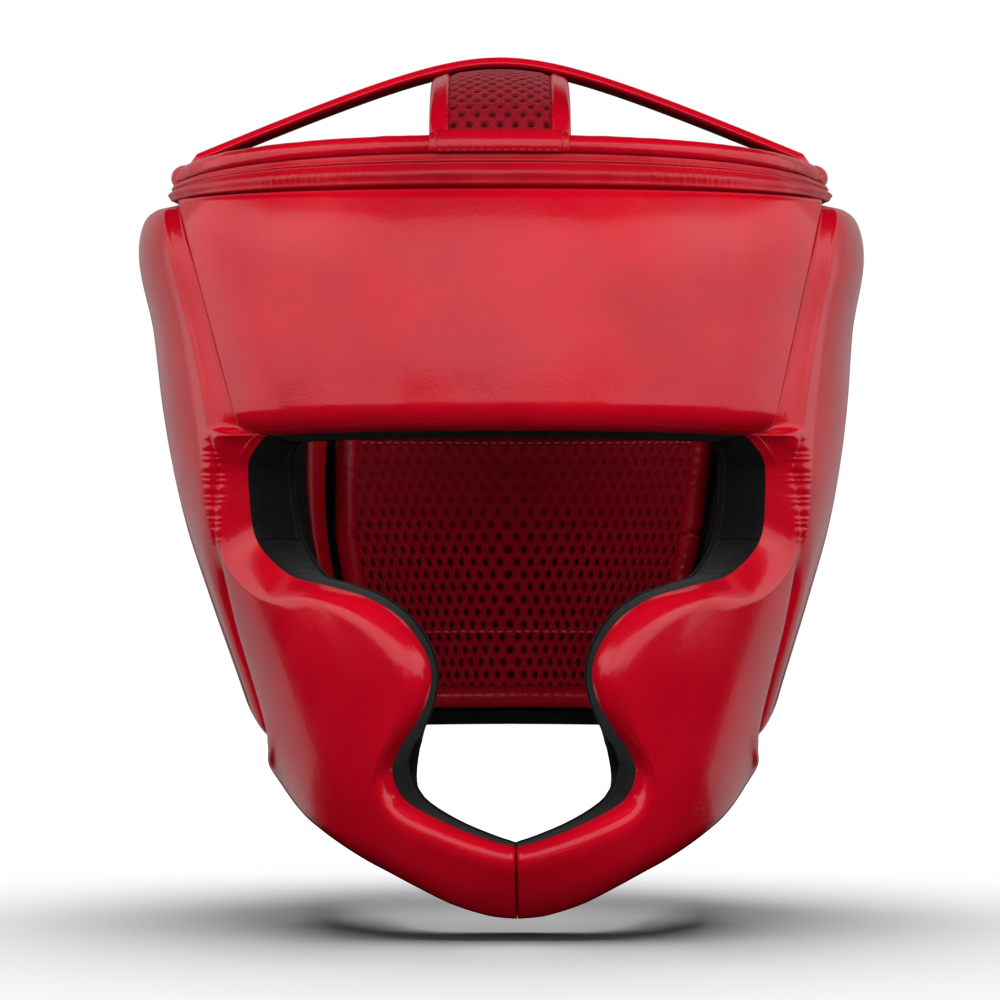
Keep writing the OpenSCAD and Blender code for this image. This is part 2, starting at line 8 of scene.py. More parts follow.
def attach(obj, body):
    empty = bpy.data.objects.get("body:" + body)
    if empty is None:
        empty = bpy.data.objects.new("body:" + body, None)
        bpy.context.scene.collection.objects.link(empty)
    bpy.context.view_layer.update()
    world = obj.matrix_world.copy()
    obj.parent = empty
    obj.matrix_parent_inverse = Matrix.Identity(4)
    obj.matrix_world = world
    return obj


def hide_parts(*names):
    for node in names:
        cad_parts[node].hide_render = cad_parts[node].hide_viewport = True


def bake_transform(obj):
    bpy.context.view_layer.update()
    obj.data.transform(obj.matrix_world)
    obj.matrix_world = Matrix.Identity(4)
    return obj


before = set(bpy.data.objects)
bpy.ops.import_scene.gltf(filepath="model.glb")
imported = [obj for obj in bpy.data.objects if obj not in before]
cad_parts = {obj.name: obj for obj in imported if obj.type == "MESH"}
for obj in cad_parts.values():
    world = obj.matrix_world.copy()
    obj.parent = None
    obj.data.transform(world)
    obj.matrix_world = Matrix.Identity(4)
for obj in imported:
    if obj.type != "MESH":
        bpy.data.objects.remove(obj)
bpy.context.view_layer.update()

# Everything below is in millimetres until a mesh is made, in the frame of part.scad: +X is the wearer's
# left, the face looks along -Y, +Z is up, and the origin is the middle of the head cavity.

# ---------------------------------------------------------------- sizes shared with part.scad

LEFT, RIGHT = 1, -1
SIDE_NAMES = {LEFT: "left", RIGHT: "right"}
SQUARENESS = 0.87
LEAN_PER_MM = 0.0236
LEAN_FROM = 100
PADDING = 24
EAR_PADDING = 8
EAR_ANGLE, EAR_SPREAD = 85, 30
LINING = 1.3
LINING_GAP = 0.2
BROW_HEIGHT = 21
BROW_ARCH = 1.5
RIM_LEVEL = 97
SEAM = 0.3
SEAM_X_LOW, SEAM_X_HIGH = 82.5, 101.5
EDGE_ROLL = 9
SEAM_ROLL = 5
# Height, then half width, reach forward and reach back of the shell at that height
SECTIONS = np.array([
    [-132, 62, 114, 62],
    [-110, 72, 127, 74],
    [-88, 81, 134, 88],
    [-60, 90, 137, 100],
    [-33, 99, 134, 109],
    [-7, 107, 127, 116],
    [20, 112.5, 122, 120],
    [55, 116, 119, 121],
    [87, 120, 113, 115],
    [114, 105, 103, 100],
])


def seam_x(z):
    return SEAM_X_LOW + (SEAM_X_HIGH - SEAM_X_LOW) * (z - BROW_HEIGHT) / (RIM_LEVEL - BROW_HEIGHT)


# Station, then distance from the middle and height of the inner edge and of the outer edge
CHEEK = np.array([
    [0, seam_x(96.5) + SEAM, 96.5, 109.5, 96.5],
    [1, seam_x(74) + SEAM, 74, 105.5, 74],
    [2, seam_x(50) + SEAM, 50, 99.5, 50],
    [3, seam_x(23) + SEAM, 23, 95, 23],
    [4, 82.8, 3, 95.5, 0],
    [5, 80.5, -13, 94.5, -21],
    [6, 70, -23.5, 90.5, -41],
    [7, 57, -27, 86, -57],
    [8, 44.5, -30.5, 82, -71.5],
    [9, 34, -37, 78.5, -83],
    [10, 27, -46.5, 75, -91.5],
    [11, 25, -55, 69.5, -98],
    [12, 27, -63.5, 62, -104.5],
    [13, 31.5, -71.5, 54, -110],
    [14, 36.5, -79.5, 46, -114.5],
    [15, 38, -86, 38, -118.3],
    [16, 34, -94, 30.5, -122],
    [17, 21, -101, 20, -127],
    [18, 8, -106, 9, -130.4],
    [19, SEAM / 2, -108, SEAM / 2, -131.4],
])
CREASE_END = 9
TUCK = 2.1  # degrees that the foam's wall is drawn back from the opening
EAR_ANGLE_BACK = 112
EAR_SPOT = (0.62, 0.44)
EAR_HALF_WIDTH, EAR_HALF_HEIGHT = 13, 20
PAD_LOW, PAD_LOW_BACK = -83, -64
PAD_ARC = 118
PAD_HEIGHT = RIM_LEVEL - PAD_LOW
WING_START = 112.5
FREE_WING_END, FREE_FLAP_END = 133.6, 219
EDGE_LEVEL, EDGE_SLANT, EDGE_BEND = 21, 12, 60
HINGE_POLAR = 53
HINGE_GAP = 0.4
WING_LOW, WING_HIGH = -77, 74
KNOB_ANGLE = 77
RIM_CORD = 3.4
RIM_FRONT, RIM_SIDE = 112, 106
ARCH_TOP = 147.4
ARCH_SLOPE, ARCH_ROUND = 0.435, 32
ARCH_HALF = 12
ARCH_THICKNESS = 3.3
STITCH_PLACE = 0.78  # of the arch strap's half width
CROWN_HALF = 22.5
CROWN_EDGE = 6.5
CROWN_INNER = CROWN_HALF - CROWN_EDGE
# Place from front to back and height of the crown strap's middle line
CROWN_LINE = np.array([
    [-94.4, 111], [-93.2, 117.5], [-87.5, 124.5], [-76, 130.5], [-60, 136], [-42, 140], [-20, 142.8],
    [0, 143.7], [22, 142], [44, 138.6], [62, 132], [76, 123], [86, 112], [90.2, 105], [91.6, 98.5],
])
FLAP_LOW, FLAP_HIGH = -78, 71
MESH_MARGIN, MESH_LOW, MESH_HIGH = 1.2, -68.5, 42
HOLE_ACROSS, HOLE_UP = 4.9, 4.35
QUILT_LINES = (20, -46)
CLOSURE_MIDDLE, CLOSURE_HEIGHT = -4, 56
CLOSURE_ROOT, CLOSURE_TIP, CLOSURE_TAB = 198, 248, 253
HOOK_START = 239
CLOSURE_LIFT = 3.1

# ---------------------------------------------------------------- curves and the shell's face


def signed_pow(value, power):
    return np.sign(value) * np.abs(value) ** power


def through(rows, position, column):
    """Smooth curve through rows [position, value, ...] at positions, for one column."""
    at, value = rows[:, 0], rows[:, column]
    low = np.maximum(np.arange(len(at)) - 1, 0)
    high = np.minimum(np.arange(len(at)) + 1, len(at) - 1)
    slope = (value[high] - value[low]) / (at[high] - at[low])
    i = np.clip(np.searchsorted(at, position, side="right") - 1, 0, len(at) - 2)
    width = at[i + 1] - at[i]
    t = (position - at[i]) / width
    return (value[i] * (1 + 2 * t) * (1 - t) ** 2 + slope[i] * width * t * (1 - t) ** 2
            + value[i + 1] * t * t * (3 - 2 * t) + slope[i + 1] * width * t * t * (t - 1))


def shell(angle, z, offset=0.0):
    """Points of the shell: angle 0 is the middle of the face and +90 the wearer's left ear."""
    angle, z, offset = np.broadcast_arrays(np.asarray(angle, float), np.asarray(z, float), offset)
    turned = np.where(angle > 180, angle - 360, angle)
    turn = np.radians(turned)
    depth = np.where(np.abs(turned) < 90, through(SECTIONS, z, 2), through(SECTIONS, z, 3))
    x = (through(SECTIONS, z, 1) + offset) * signed_pow(np.sin(turn), SQUARENESS)
    y = -(depth + offset) * signed_pow(np.cos(turn), SQUARENESS)
    return np.stack([x + LEAN_PER_MM * (LEAN_FROM - z), y, z], axis=-1)


def angle_at(x, z, sunk=0.0):
    """Angle of the point at a distance x from the middle, some depth below the shell."""
    share = np.clip(x / (through(SECTIONS, z, 1) - sunk), 0, 1)
    return np.degrees(np.arcsin(share ** (1 / SQUARENESS)))


def padding_at(angle):
    """Depth of the padding, which is thicker over the ears."""
    turned = np.where(np.asarray(angle) > 180, np.asarray(angle) - 360, angle)
    return PADDING + EAR_PADDING * bell(np.abs(turned), EAR_ANGLE, EAR_SPREAD)


def foam_level(angle):
    """Level of the foam's inner face, just above its lining."""
    return LINING + LINING_GAP - padding_at(angle)


def smooth_step(low, high, value):
    t = np.clip((value - low) / (high - low), 0, 1)
    return t * t * (3 - 2 * t)


def window(value, rise, top, fall, end):
    """Soft window: climbs from 0 at rise to 1 at top, stays there until fall and is 0 again at end."""
    return smooth_step(rise, top, value) * smooth_step(end, fall, value)


def circle(count):
    """Even angles round a full turn."""
    return np.linspace(0, 2 * math.pi, count, endpoint=False)


def crowded(count):
    """Samples from 0 to 1 that lie closer together near both ends."""
    t = np.linspace(0, 1, count)
    return 0.35 * t + 0.65 * (0.5 - 0.5 * np.cos(np.pi * t))


def rolled(distance, width):
    """Quarter round: 1 at the edge, falling to 0 a width away from it."""
    t = np.clip(1 - distance / width, 0, 1)
    return 1 - np.sqrt(1 - t * t)


def chamfer(distance, width):
    """Nearly flat slope: 1 at the edge, easing to 0 over a soft ridge a width away from it."""
    return np.clip(1 - distance / width, 0, 1) ** 1.25


def both(*shares):
    """Joins rolls of several edges, so that corners come out round."""
    return np.minimum(1, np.sqrt(sum(s * s for s in shares)))


def edge_distances(points):
    """Distances along a grid to its first and last column and its first and last row."""
    across = np.linalg.norm(np.diff(points, axis=1), axis=2)
    down = np.linalg.norm(np.diff(points, axis=0), axis=2)
    first = np.concatenate([np.zeros((len(points), 1)), np.cumsum(across, axis=1)], axis=1)
    top = np.concatenate([np.zeros((1, points.shape[1])), np.cumsum(down, axis=0)], axis=0)
    return first, first[:, -1:] - first, top, top[-1:] - top


def soft_noise(points, size, seed):
    """Smooth noise between about -1 and 1 for a grid of points, with lumps of the given size in mm."""
    flat = points.reshape(-1, 3) / size + seed * 17.3
    return np.array([noise.noise(Vector(p)) for p in flat]).reshape(points.shape[:-1])


def bell(value, middle, width):
    """Smooth bump: 1 at the middle, nearly 0 two widths away from it."""
    return np.exp(-((value - middle) / width) ** 2)


def run_along(path):
    """Distance along a path at each of its points."""
    return np.concatenate([[0], np.cumsum(np.linalg.norm(np.diff(path, axis=0), axis=1))])


def points_at(path, run, at):
    """Points of a path at distances along it."""
    return np.stack([np.interp(at, run, path[:, k]) for k in range(3)], axis=-1)


def even_path(path, spacing, closed=False):
    """The same path with points at an even spacing."""
    path = np.asarray(path, float)
    if closed:
        path = np.concatenate([path, path[:1]])
    run = run_along(path)
    count = max(4, int(round(run[-1] / spacing)))
    return points_at(path, run, np.linspace(0, run[-1], count, endpoint=not closed))


def mirrored(points, side):
    """Points made for the wearer's left, moved to the right where asked, about the leaning middle."""
    if side == LEFT:
        return points
    moved = np.array(points)
    moved[..., 0] = 2 * LEAN_PER_MM * (LEAN_FROM - moved[..., 2]) - moved[..., 0]
    return moved

# ---------------------------------------------------------------- meshes


def make_object(name, points, faces, materials, face_material=None, attributes=None):
    """Smooth mesh from points in millimetres. attributes are numbers for each point."""
    vertices = np.asarray(points, float).reshape(-1, 3) / 1000
    mesh = bpy.data.meshes.new(name)
    mesh.from_pydata(vertices.tolist(), [], [list(map(int, face)) for face in faces])
    for material in materials:
        mesh.materials.append(material)
    if face_material is not None:
        mesh.polygons.foreach_set("material_index", np.asarray(face_material, np.int32))
    mesh.polygons.foreach_set("use_smooth", np.ones(len(mesh.polygons), bool))
    for key, values in (attributes or {}).items():
        attribute = mesh.attributes.new(key, "FLOAT", "POINT")
        attribute.data.foreach_set("value", np.asarray(values, np.float32).ravel())
    mesh.update()
    piece = bpy.data.objects.new(name, mesh)
    bpy.context.scene.collection.objects.link(piece)
    return piece


def grid_faces(rows, columns, start=0, flip=False, closed=False):
    """Quads of a grid of points. A closed grid joins its last column to its first."""
    spans = columns if closed else columns - 1
    row, column = np.meshgrid(np.arange(rows - 1), np.arange(spans), indexing="ij")
    here, there = start + row * columns + column, start + row * columns + (column + 1) % columns
    quads = np.stack([here, here + columns, there + columns, there], axis=-1).reshape(-1, 4)
    return quads[:, ::-1] if flip else quads


def tube_faces(rings, sides, start=0, flip=False):
    """Faces of a tube of rings with both ends capped."""
    last = start + (rings - 1) * sides
    caps = [list(range(start, start + sides)), list(range(last + sides - 1, last - 1, -1))]
    if flip:
        caps = [cap[::-1] for cap in caps]
    return [list(face) for face in grid_faces(rings, sides, start, flip, closed=True)] + caps


def compact(faces):
    """The points that the faces use, and the faces numbered among those points alone."""
    used, renumbered = np.unique(faces, return_inverse=True)
    return used, renumbered.reshape(faces.shape)


def outward_at(rim, points, edges):
    """Directions out of a surface at its rim, each away from the rim point's neighbours."""
    total, count = np.zeros_like(points), np.zeros(len(points))
    for a, b in ((0, 1), (1, 0)):
        np.add.at(total, edges[:, a], points[edges[:, b]])
        np.add.at(count, edges[:, a], 1)
    outward = points[rim] - total[rim] / count[rim, None]
    return outward / np.maximum(np.linalg.norm(outward, axis=1, keepdims=True), 1e-9)


def closed_piece(name, top, back, faces, materials, bulge=0.0, levels=4, attributes=None):
    """Closed solid between two surfaces with the same faces, with a wall round every open edge.
    bulge is how far the wall swells outwards halfway down, for each point. The back and the wall
    take the second material, where there is one."""
    top, back = top.reshape(-1, 3), back.reshape(-1, 3)
    size = len(top)
    bulge = np.broadcast_to(np.ravel(bulge), (size,))
    edges = np.concatenate([faces[:, [i, (i + 1) % 4]] for i in range(4)])
    forward, backward = edges[:, 0] * size + edges[:, 1], edges[:, 1] * size + edges[:, 0]
    open_edges = edges[~np.isin(forward, backward)]
    rim = np.unique(open_edges)
    outward = outward_at(rim, back, edges)
    place_in_rim = np.full(size, -1)
    place_in_rim[rim] = np.arange(len(rim))
    points = [top, back]
    for level in range(1, levels):
        share = level / levels
        swell = outward * (bulge[rim] * math.sin(math.pi * share) ** 0.6)[:, None]
        points.append(top[rim] + (back[rim] - top[rim]) * share + swell)

    def at(level, index):
        if level == 0:
            return index
        if level == levels:
            return size + index
        return 2 * size + (level - 1) * len(rim) + place_in_rim[index]

    first, second = open_edges[:, 0], open_edges[:, 1]
    walls = [np.stack([at(k, second), at(k, first), at(k + 1, first), at(k + 1, second)], axis=1)
             for k in range(levels)]
    every = np.concatenate([faces, faces[:, ::-1] + size] + walls)
    kinds = np.zeros(len(every), np.int32)
    kinds[len(faces):] = min(1, len(materials) - 1)
    points = np.concatenate(points)
    rest = np.zeros(len(points) - size)
    padded = {key: np.concatenate([np.ravel(v), rest]) for key, v in (attributes or {}).items()}
    return make_object(name, points, every, materials, kinds, padded)


def frames_along(path, closed=False):
    """Directions along, across and up for each point of a path."""
    if closed:
        ahead = np.roll(path, -1, axis=0) - np.roll(path, 1, axis=0)
    else:
        ahead = np.gradient(path, axis=0)
    ahead /= np.linalg.norm(ahead, axis=1, keepdims=True)
    across = np.cross(ahead, [0.0, 0.0, 1.0])
    upright = np.linalg.norm(across, axis=1) < 0.2
    across[upright] = np.cross(ahead[upright], [0.0, 1.0, 0.0])
    across /= np.linalg.norm(across, axis=1, keepdims=True)
    return ahead, across, np.cross(across, ahead)


def dome(centre, direction, ring, radius):
    """Rings of a tube's round end, from the tube to the tip."""
    steps = np.linspace(0, math.pi / 2, 6)[1:]
    return [centre + radius * (direction * math.sin(s) + ring * max(math.cos(s), 0.02)) for s in steps]


def tube(name, path, radius, materials, sides=20, closed=False):
    """Round cord along a path, joined into a loop or closed with a dome at each end."""
    path = np.asarray(path, float)
    radius = np.broadcast_to(radius, len(path)).astype(float)
    ahead, across, up = frames_along(path, closed)
    turn = circle(sides)
    ring = np.cos(turn)[None, :, None] * across[:, None] + np.sin(turn)[None, :, None] * up[:, None]
    points = path[:, None] + radius[:, None, None] * ring
    if closed:
        last = (len(points) - 1) * sides
        faces = [list(face) for face in grid_faces(len(points), sides, closed=True)]
        faces += [[last + i, i, (i + 1) % sides, last + (i + 1) % sides] for i in range(sides)]
    else:
        start = dome(path[0], -ahead[0], ring[0], radius[0])
        end = dome(path[-1], ahead[-1], ring[-1], radius[-1])
        points = np.concatenate([np.array(start[::-1]), points, np.array(end)])
        faces = tube_faces(len(points), sides)
    return make_object(name, points, faces, materials)


# Places along a stitch from 0 to 1, and the thread's share of its full thickness there
STITCH_SHAPE = ((0, 0.25), (0.12, 0.8), (0.5, 1), (0.88, 0.8), (1, 0.25))
STITCH_SIDES = 6


def stitches(name, paths, material, pitch, length, radius):
    """Short rounded threads along each path, one after another."""
    turn = circle(STITCH_SIDES)
    points, faces = [], []
    for path in paths:
        run = run_along(path)
        for middle in np.arange(pitch / 2, run[-1] - pitch / 2, pitch):
            first, last = points_at(path, run, np.array([middle - length / 2, middle + length / 2]))
            along = (last - first) / np.linalg.norm(last - first)
            across = np.cross(along, [0.31, 0.52, 0.79])
            across /= np.linalg.norm(across)
            ring = np.cos(turn)[:, None] * across + np.sin(turn)[:, None] * np.cross(across, along)
            faces += tube_faces(len(STITCH_SHAPE), STITCH_SIDES, len(points) * STITCH_SIDES)
            points += [first + (last - first) * share + radius * size * ring
                       for share, size in STITCH_SHAPE]
    return make_object(name, np.concatenate(points), faces, [material])


def hand_over(piece, body, nodes=()):
    """The piece rides on a body and stands in for the CAD nodes, which are hidden."""
    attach(piece, body)
    if nodes:
        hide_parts(*nodes)


def lining_piece(name, body, node, angle, z, depth, faces, side=LEFT, puff=0.0, bulge=0.0):
    """Lining cloth on the inner face of the foam, which lies a depth below the shell."""
    used, faces = compact(faces)
    top = mirrored(shell(angle, z, LINING - depth), side).reshape(-1, 3)[used]
    back = mirrored(shell(angle, z, -depth - puff), side).reshape(-1, 3)[used]
    piece = closed_piece(name, top, back, faces, [LINING_CLOTH], bulge)
    hand_over(piece, body, [node])

# ---------------------------------------------------------------- materials


class Shader:
    """A Principled material with helpers for the nodes that feed it."""

    def __init__(self, name, **values):
        self.material = bpy.data.materials.new(name)
        self.material.use_nodes = True
        self.nodes = self.material.node_tree.nodes
        self.links = self.material.node_tree.links
        self.surface = self.nodes["Principled BSDF"]
        for key, value in values.items():
            self.surface.inputs[key.replace("_", " ")].default_value = value
        self.place = self.nodes.new("ShaderNodeTexCoord").outputs["Object"]
        self.normal = None

    def node(self, kind, **values):
        """New node of a kind, with values for its inputs."""
        node = self.nodes.new("ShaderNode" + kind)
        for key, value in values.items():
            node.inputs[key.replace("_", " ")].default_value = value
        return node

    def texture(self, kind, **values):
        """New texture node laid out by place on the piece."""
        node = self.node("Tex" + kind, **values)
        self.links.new(self.place, node.inputs["Vector"])
        return node

    def noise(self, scale, detail=3.0, roughness=0.5):
        return self.texture("Noise", Scale=scale, Detail=detail, Roughness=roughness).outputs["Fac"]

    def cells(self, scale, feature="F1"):
        node = self.texture("Voronoi", Scale=scale)
        node.feature = feature
        return node.outputs["Distance"]

    def waves(self, scale, direction, distortion=0.0):
        node = self.texture("Wave", Scale=scale, Distortion=distortion)
        node.bands_direction = direction
        return node.outputs["Fac"]

    def attribute(self, name):
        node = self.node("Attribute")
        node.attribute_name = name
        return node.outputs["Fac"]

    def spread(self, value, low, high):
        """Stretches the middle of a noise to reach from low to high."""
        node = self.node("MapRange", From_Min=0.3, From_Max=0.7, To_Min=low, To_Max=high)
        self.links.new(value, node.inputs["Value"])
        return node.outputs["Result"]

    def multiply(self, a, b):
        node = self.node("Math")
        node.operation = "MULTIPLY"
        self.links.new(a, node.inputs[0])
        self.links.new(b, node.inputs[1])
        return node.outputs[0]

    def colour(self, share, first, second):
        """The base colour goes from the first to the second with the share."""
        node = self.nodes.new("ShaderNodeMix")
        node.data_type = "RGBA"
        node.inputs["A"].default_value = (*first, 1)
        node.inputs["B"].default_value = (*second, 1)
        self.links.new(share, node.inputs["Factor"])
        self.set("Base Color", node.outputs["Result"])

    def roughness(self, noise, low, high):
        self.set("Roughness", self.spread(noise, low, high))

    def set(self, key, output):
        self.links.new(output, self.surface.inputs[key])

    def bump(self, height, strength, distance):
        node = self.node("Bump", Strength=strength, Distance=distance)
        self.links.new(height, node.inputs["Height"])
        if self.normal is not None:
            self.links.new(self.normal, node.inputs["Normal"])
        self.normal = node.outputs["Normal"]
        self.set("Normal", self.normal)


def scaled(colour, share):
    return tuple(min(1.0, share * c) for c in colour)


def leather(name, base, roughness=0.2, coat=0.3, coat_roughness=0.08, specular=0.5):
    """Smooth coated leather with a fine pebble, soft colour drift and slight wear in its gloss."""
    shader = Shader(name, Coat_Weight=coat, Coat_Roughness=coat_roughness, Specular_IOR_Level=specular)
    shader.colour(shader.spread(shader.noise(22, 4), 0, 1), scaled(base, 0.8), scaled(base, 1.1))
    shader.roughness(shader.noise(60, 5), roughness - 0.05, roughness + 0.07)
    shader.bump(shader.cells(1500, "SMOOTH_F1"), 0.25, 0.00012)
    shader.bump(shader.noise(420, 4), 0.22, 0.00018)
    shader.bump(shader.noise(90, 2), 0.25, 0.0006)
    return shader.material


def lining_cloth():
    """Black brushed lining."""
    shader = Shader("lining_black", Sheen_Weight=0.06, Sheen_Roughness=0.45, Specular_IOR_Level=0.15)
    shader.colour(shader.noise(900, 3), (0.003, 0.003, 0.0035), (0.011, 0.011, 0.012))
    shader.roughness(shader.noise(300, 3), 0.55, 0.8)
    shader.bump(shader.noise(2600, 3, 0.7), 0.6, 0.0003)
    shader.bump(shader.noise(200, 3), 0.4, 0.001)
    return shader.material


def mesh_fabric(name, thread, hole_shade):
    """Spacer mesh: knitted threads round holes, which an attribute marks. The holes' near-black colour is
    painted shade inside them.
    """
    shader = Shader(name, Specular_IOR_Level=0.15, Sheen_Weight=0.05, Sheen_Roughness=0.4)
    shader.colour(shader.attribute("pit_and_shade"), thread, hole_shade)
    shader.roughness(shader.noise(500, 3), 0.36, 0.52)
    shader.bump(shader.waves(420, "Z", 2.0), 0.35, 0.0004)
    shader.bump(shader.waves(420, "X", 2.0), 0.35, 0.0004)
    return shader.material


def tape(name, base, fibre):
    """Hook or loop tape: a dense pile of fibres."""
    shader = Shader(name, Sheen_Weight=0.3, Specular_IOR_Level=0.3)
    shader.colour(shader.noise(1300, 4, 0.8), scaled(base, 0.5), base)
    shader.roughness(shader.noise(700, 3), 0.7, 0.95)
    shader.bump(shader.cells(fibre), 0.8, 0.0006)
    shader.bump(shader.noise(1500, 4, 0.8), 0.6, 0.0005)
    return shader.material


def thread(name, base):
    """Sewing thread, finely twisted."""
    shader = Shader(name, Base_Color=(*base, 1), Roughness=0.45)
    shader.bump(shader.noise(2500, 2), 0.4, 0.0002)
    return shader.material


def webbing(name, base):
    """Woven elastic webbing with ribs along and across."""
    shader = Shader(name, Specular_IOR_Level=0.35)
    weave = shader.multiply(shader.waves(520, "Z"), shader.waves(380, "X"))
    shader.colour(weave, scaled(base, 0.6), base)
    shader.roughness(shader.noise(600, 3), 0.55, 0.75)
    shader.bump(weave, 0.7, 0.0005)
    return shader.material


LEATHER = leather("leather_red", (0.68, 0.0012, 0.016))
# A darker, less glossy copy of the red leather; its darker red is painted shade for the rim band's recess,
# the bindings inside the head and the sunk hinge strip.
LEATHER_SHADE_PAINTED = leather("leather_shade_painted_red", (0.55, 0.0012, 0.013), 0.3, coat=0.15, coat_roughness=0.2)
# Matte leather for the arch strap's back; its darker red is painted shade under the strap.
LEATHER_DULL_SHADE_PAINTED = leather("leather_dull_shade_painted_red", (0.5, 0.0012, 0.012), 0.6, coat=0, specular=0.05)
LINING_CLOTH = lining_cloth()
# The meshes' second colours are painted shade in their holes.
MESH = mesh_fabric("mesh_red", (0.42, 0.003, 0.018), (0.03, 0.0008, 0.001))
CROWN_MESH = mesh_fabric("crown_mesh_red", (0.3, 0.003, 0.014), (0.05, 0.001, 0.003))
LOOP_TAPE = tape("loop_tape", (0.02, 0.02, 0.022), 1100)
HOOK_TAPE = tape("hook_tape", (0.06, 0.06, 0.065), 800)
WEBBING = webbing("webbing_black", (0.03, 0.03, 0.033))
THREAD = thread("thread_red", (0.5, 0.012, 0.03))
# A paler copy of the red thread, a painted highlight that makes the quilting stitches look lit.
THREAD_HIGHLIGHT_PAINTED = thread("thread_highlight_painted_red", (0.6, 0.09, 0.11))
PADDED = [LEATHER, LINING_CLOTH]  # a padded piece's cover, and its back and walls


def sew(name, body, paths, pitch=3.0, length=2.1, radius=0.32, material=THREAD):
    """Stitches along paths, which ride on a body."""
    hand_over(stitches(name, paths, material, pitch, length, radius), body)


# ---------------------------------------------------------------- forehead


def forehead_grid(rows, columns):
    """Angles and heights from the left seam to the right one, and from the brow to the rim."""
    u, v = np.meshgrid(crowded(columns), crowded(rows))
    low = BROW_HEIGHT + BROW_ARCH * (0.5 - (2 * u - 1) ** 2)
    z = low + (RIM_LEVEL + 1 - low) * v
    return angle_at(seam_x(z), z, SEAM_ROLL) * (1 - 2 * u), z


def forehead():
    angle, z = forehead_grid(110, 230)
    left, right, low, high = edge_distances(shell(angle, z))
    from_seam = np.minimum(left, right)
    seam_depth = 3.6 * both(rolled(from_seam, 2.4), rolled(high, 3.5))
    sunk = np.maximum(seam_depth, rolled(low, 9) * EDGE_ROLL)
    puff = 0.8 * smooth_step(0, 28, np.minimum(from_seam, np.minimum(low, high)))
    top = shell(angle, z, puff - 0.8 - sunk)
    back = shell(angle, z, foam_level(angle))
    bulge = 2.4 * smooth_step(3, 0, low) * smooth_step(2, 14, from_seam)
    piece = closed_piece("forehead_pad", top, back, grid_faces(*angle.shape), PADDED, bulge, 8)
    hand_over(piece, "root", ["forehead_cover", "forehead_foam"])


def forehead_lining():
    angle, z = forehead_grid(24, 60)
    low = edge_distances(shell(angle, z))[2]
    lining_piece("forehead_lining_cloth", "root", "forehead_lining", angle, z, padding_at(angle),
                 grid_faces(*angle.shape), puff=smooth_step(0, 12, low), bulge=0.8)

# ---------------------------------------------------------------- cheeks, chin and ear pads

# The crease between the cheek and the ear pad, as distances from the middle and heights
CREASE_STATIONS = np.linspace(0, CREASE_END, 400)
CREASE_X = through(CHEEK, CREASE_STATIONS, 3)
CREASE_Z = through(CHEEK, CREASE_STATIONS, 4)
EAR_COLUMNS = 64
DEEPEST = 13  # how far the cheek's leather may lie below the shell


def crease_x(z):
    return np.interp(z, CREASE_Z[::-1], CREASE_X[::-1])


def stations(spacing, fine_spacing):
    """Values of v down the side, closer together where the leather is gathered beside the eye."""
    values = [0.0]
    for i in range(len(CHEEK) - 1):
        step = CHEEK[i + 1] - CHEEK[i]
        length = max(math.hypot(step[1], step[2]), math.hypot(step[3], step[4]))
        fine = 3 <= i <= 4
        count = max(3, math.ceil(length / (fine_spacing if fine else spacing)))
        values += list(i + np.arange(1, count + 1) / count)
    return np.array(values)


def jaw_depth(v):
    """How far the outer face sinks at the jaw's edge, below the ear pad."""
    return np.clip(2.2 * (v - CREASE_END), 0, 6.5)


def brow_corner(z):
    """How far the leather reaches in under the brow, which rounds the eye opening's upper corner."""
    below = BROW_HEIGHT - 0.5 - z
    return 5 * rolled(np.maximum(below, 0), 12) * smooth_step(-3, 0, below)


def cheek_grid(v, u):
    """Angles and heights of the strip from its inner edge (u 0) to its outer edge (u 1)."""
    inner_z, outer_z = through(CHEEK, v, 2), through(CHEEK, v, 4)
    sunk = SEAM_ROLL + (EDGE_ROLL - SEAM_ROLL) * smooth_step(3, 3.6, v)
    inner = angle_at(through(CHEEK, v, 1) - brow_corner(inner_z), inner_z, sunk)
    outer_x = np.where(v <= CREASE_END, crease_x(outer_z), through(CHEEK, v, 3))
    outer = angle_at(outer_x, outer_z, jaw_depth(v))
    angle = inner[:, None] + (outer - inner)[:, None] * u
    return angle, inner_z[:, None] + (outer_z - inner_z)[:, None] * u


def tucked(angle, v, inner):
    """Angles of the foam's inner face, drawn back so that its wall stays under the leather."""
    return angle + TUCK * smooth_step(14, 0, inner) * window(v[:, None], 5.3, 6.6, 16.5, 18.2)


def ear_point(u, share_up):
    """Angle and height of a point of the ear pad, from the crease back and from the bottom up."""
    low = PAD_LOW + (PAD_LOW_BACK - PAD_LOW) * u ** 0.7
    z = low + (RIM_LEVEL - low) * share_up
    front = angle_at(crease_x(z), z)
    return front + (EAR_ANGLE_BACK - front) * u, z


def ear_grid(v, columns):
    """Angles and heights behind the crease, with the grid opened round the ear hole.
    Also gives each point's distance from the hole's middle, where the hole's edge is 1."""
    share_up = (through(CHEEK, v, 4) - PAD_LOW) / PAD_HEIGHT
    u, up = np.meshgrid(np.linspace(0, 1, columns) ** 1.15, share_up)
    a = (u - EAR_SPOT[0]) / (EAR_HALF_WIDTH / PAD_ARC)
    b = (up - EAR_SPOT[1]) / (EAR_HALF_HEIGHT / PAD_HEIGHT)
    reach = np.maximum(np.abs(a), np.abs(b))
    squared = np.sqrt(a * a + b * b)
    round_share = smooth_step(2.2, 1.0, reach)
    shift = 1 + (reach / np.maximum(squared, 1e-6) - 1) * round_share
    angle, z = ear_point(np.clip(EAR_SPOT[0] + a * shift * EAR_HALF_WIDTH / PAD_ARC, 0, 1),
                         np.clip(EAR_SPOT[1] + b * shift * EAR_HALF_HEIGHT / PAD_HEIGHT, 0, 1))
    return angle, z, reach


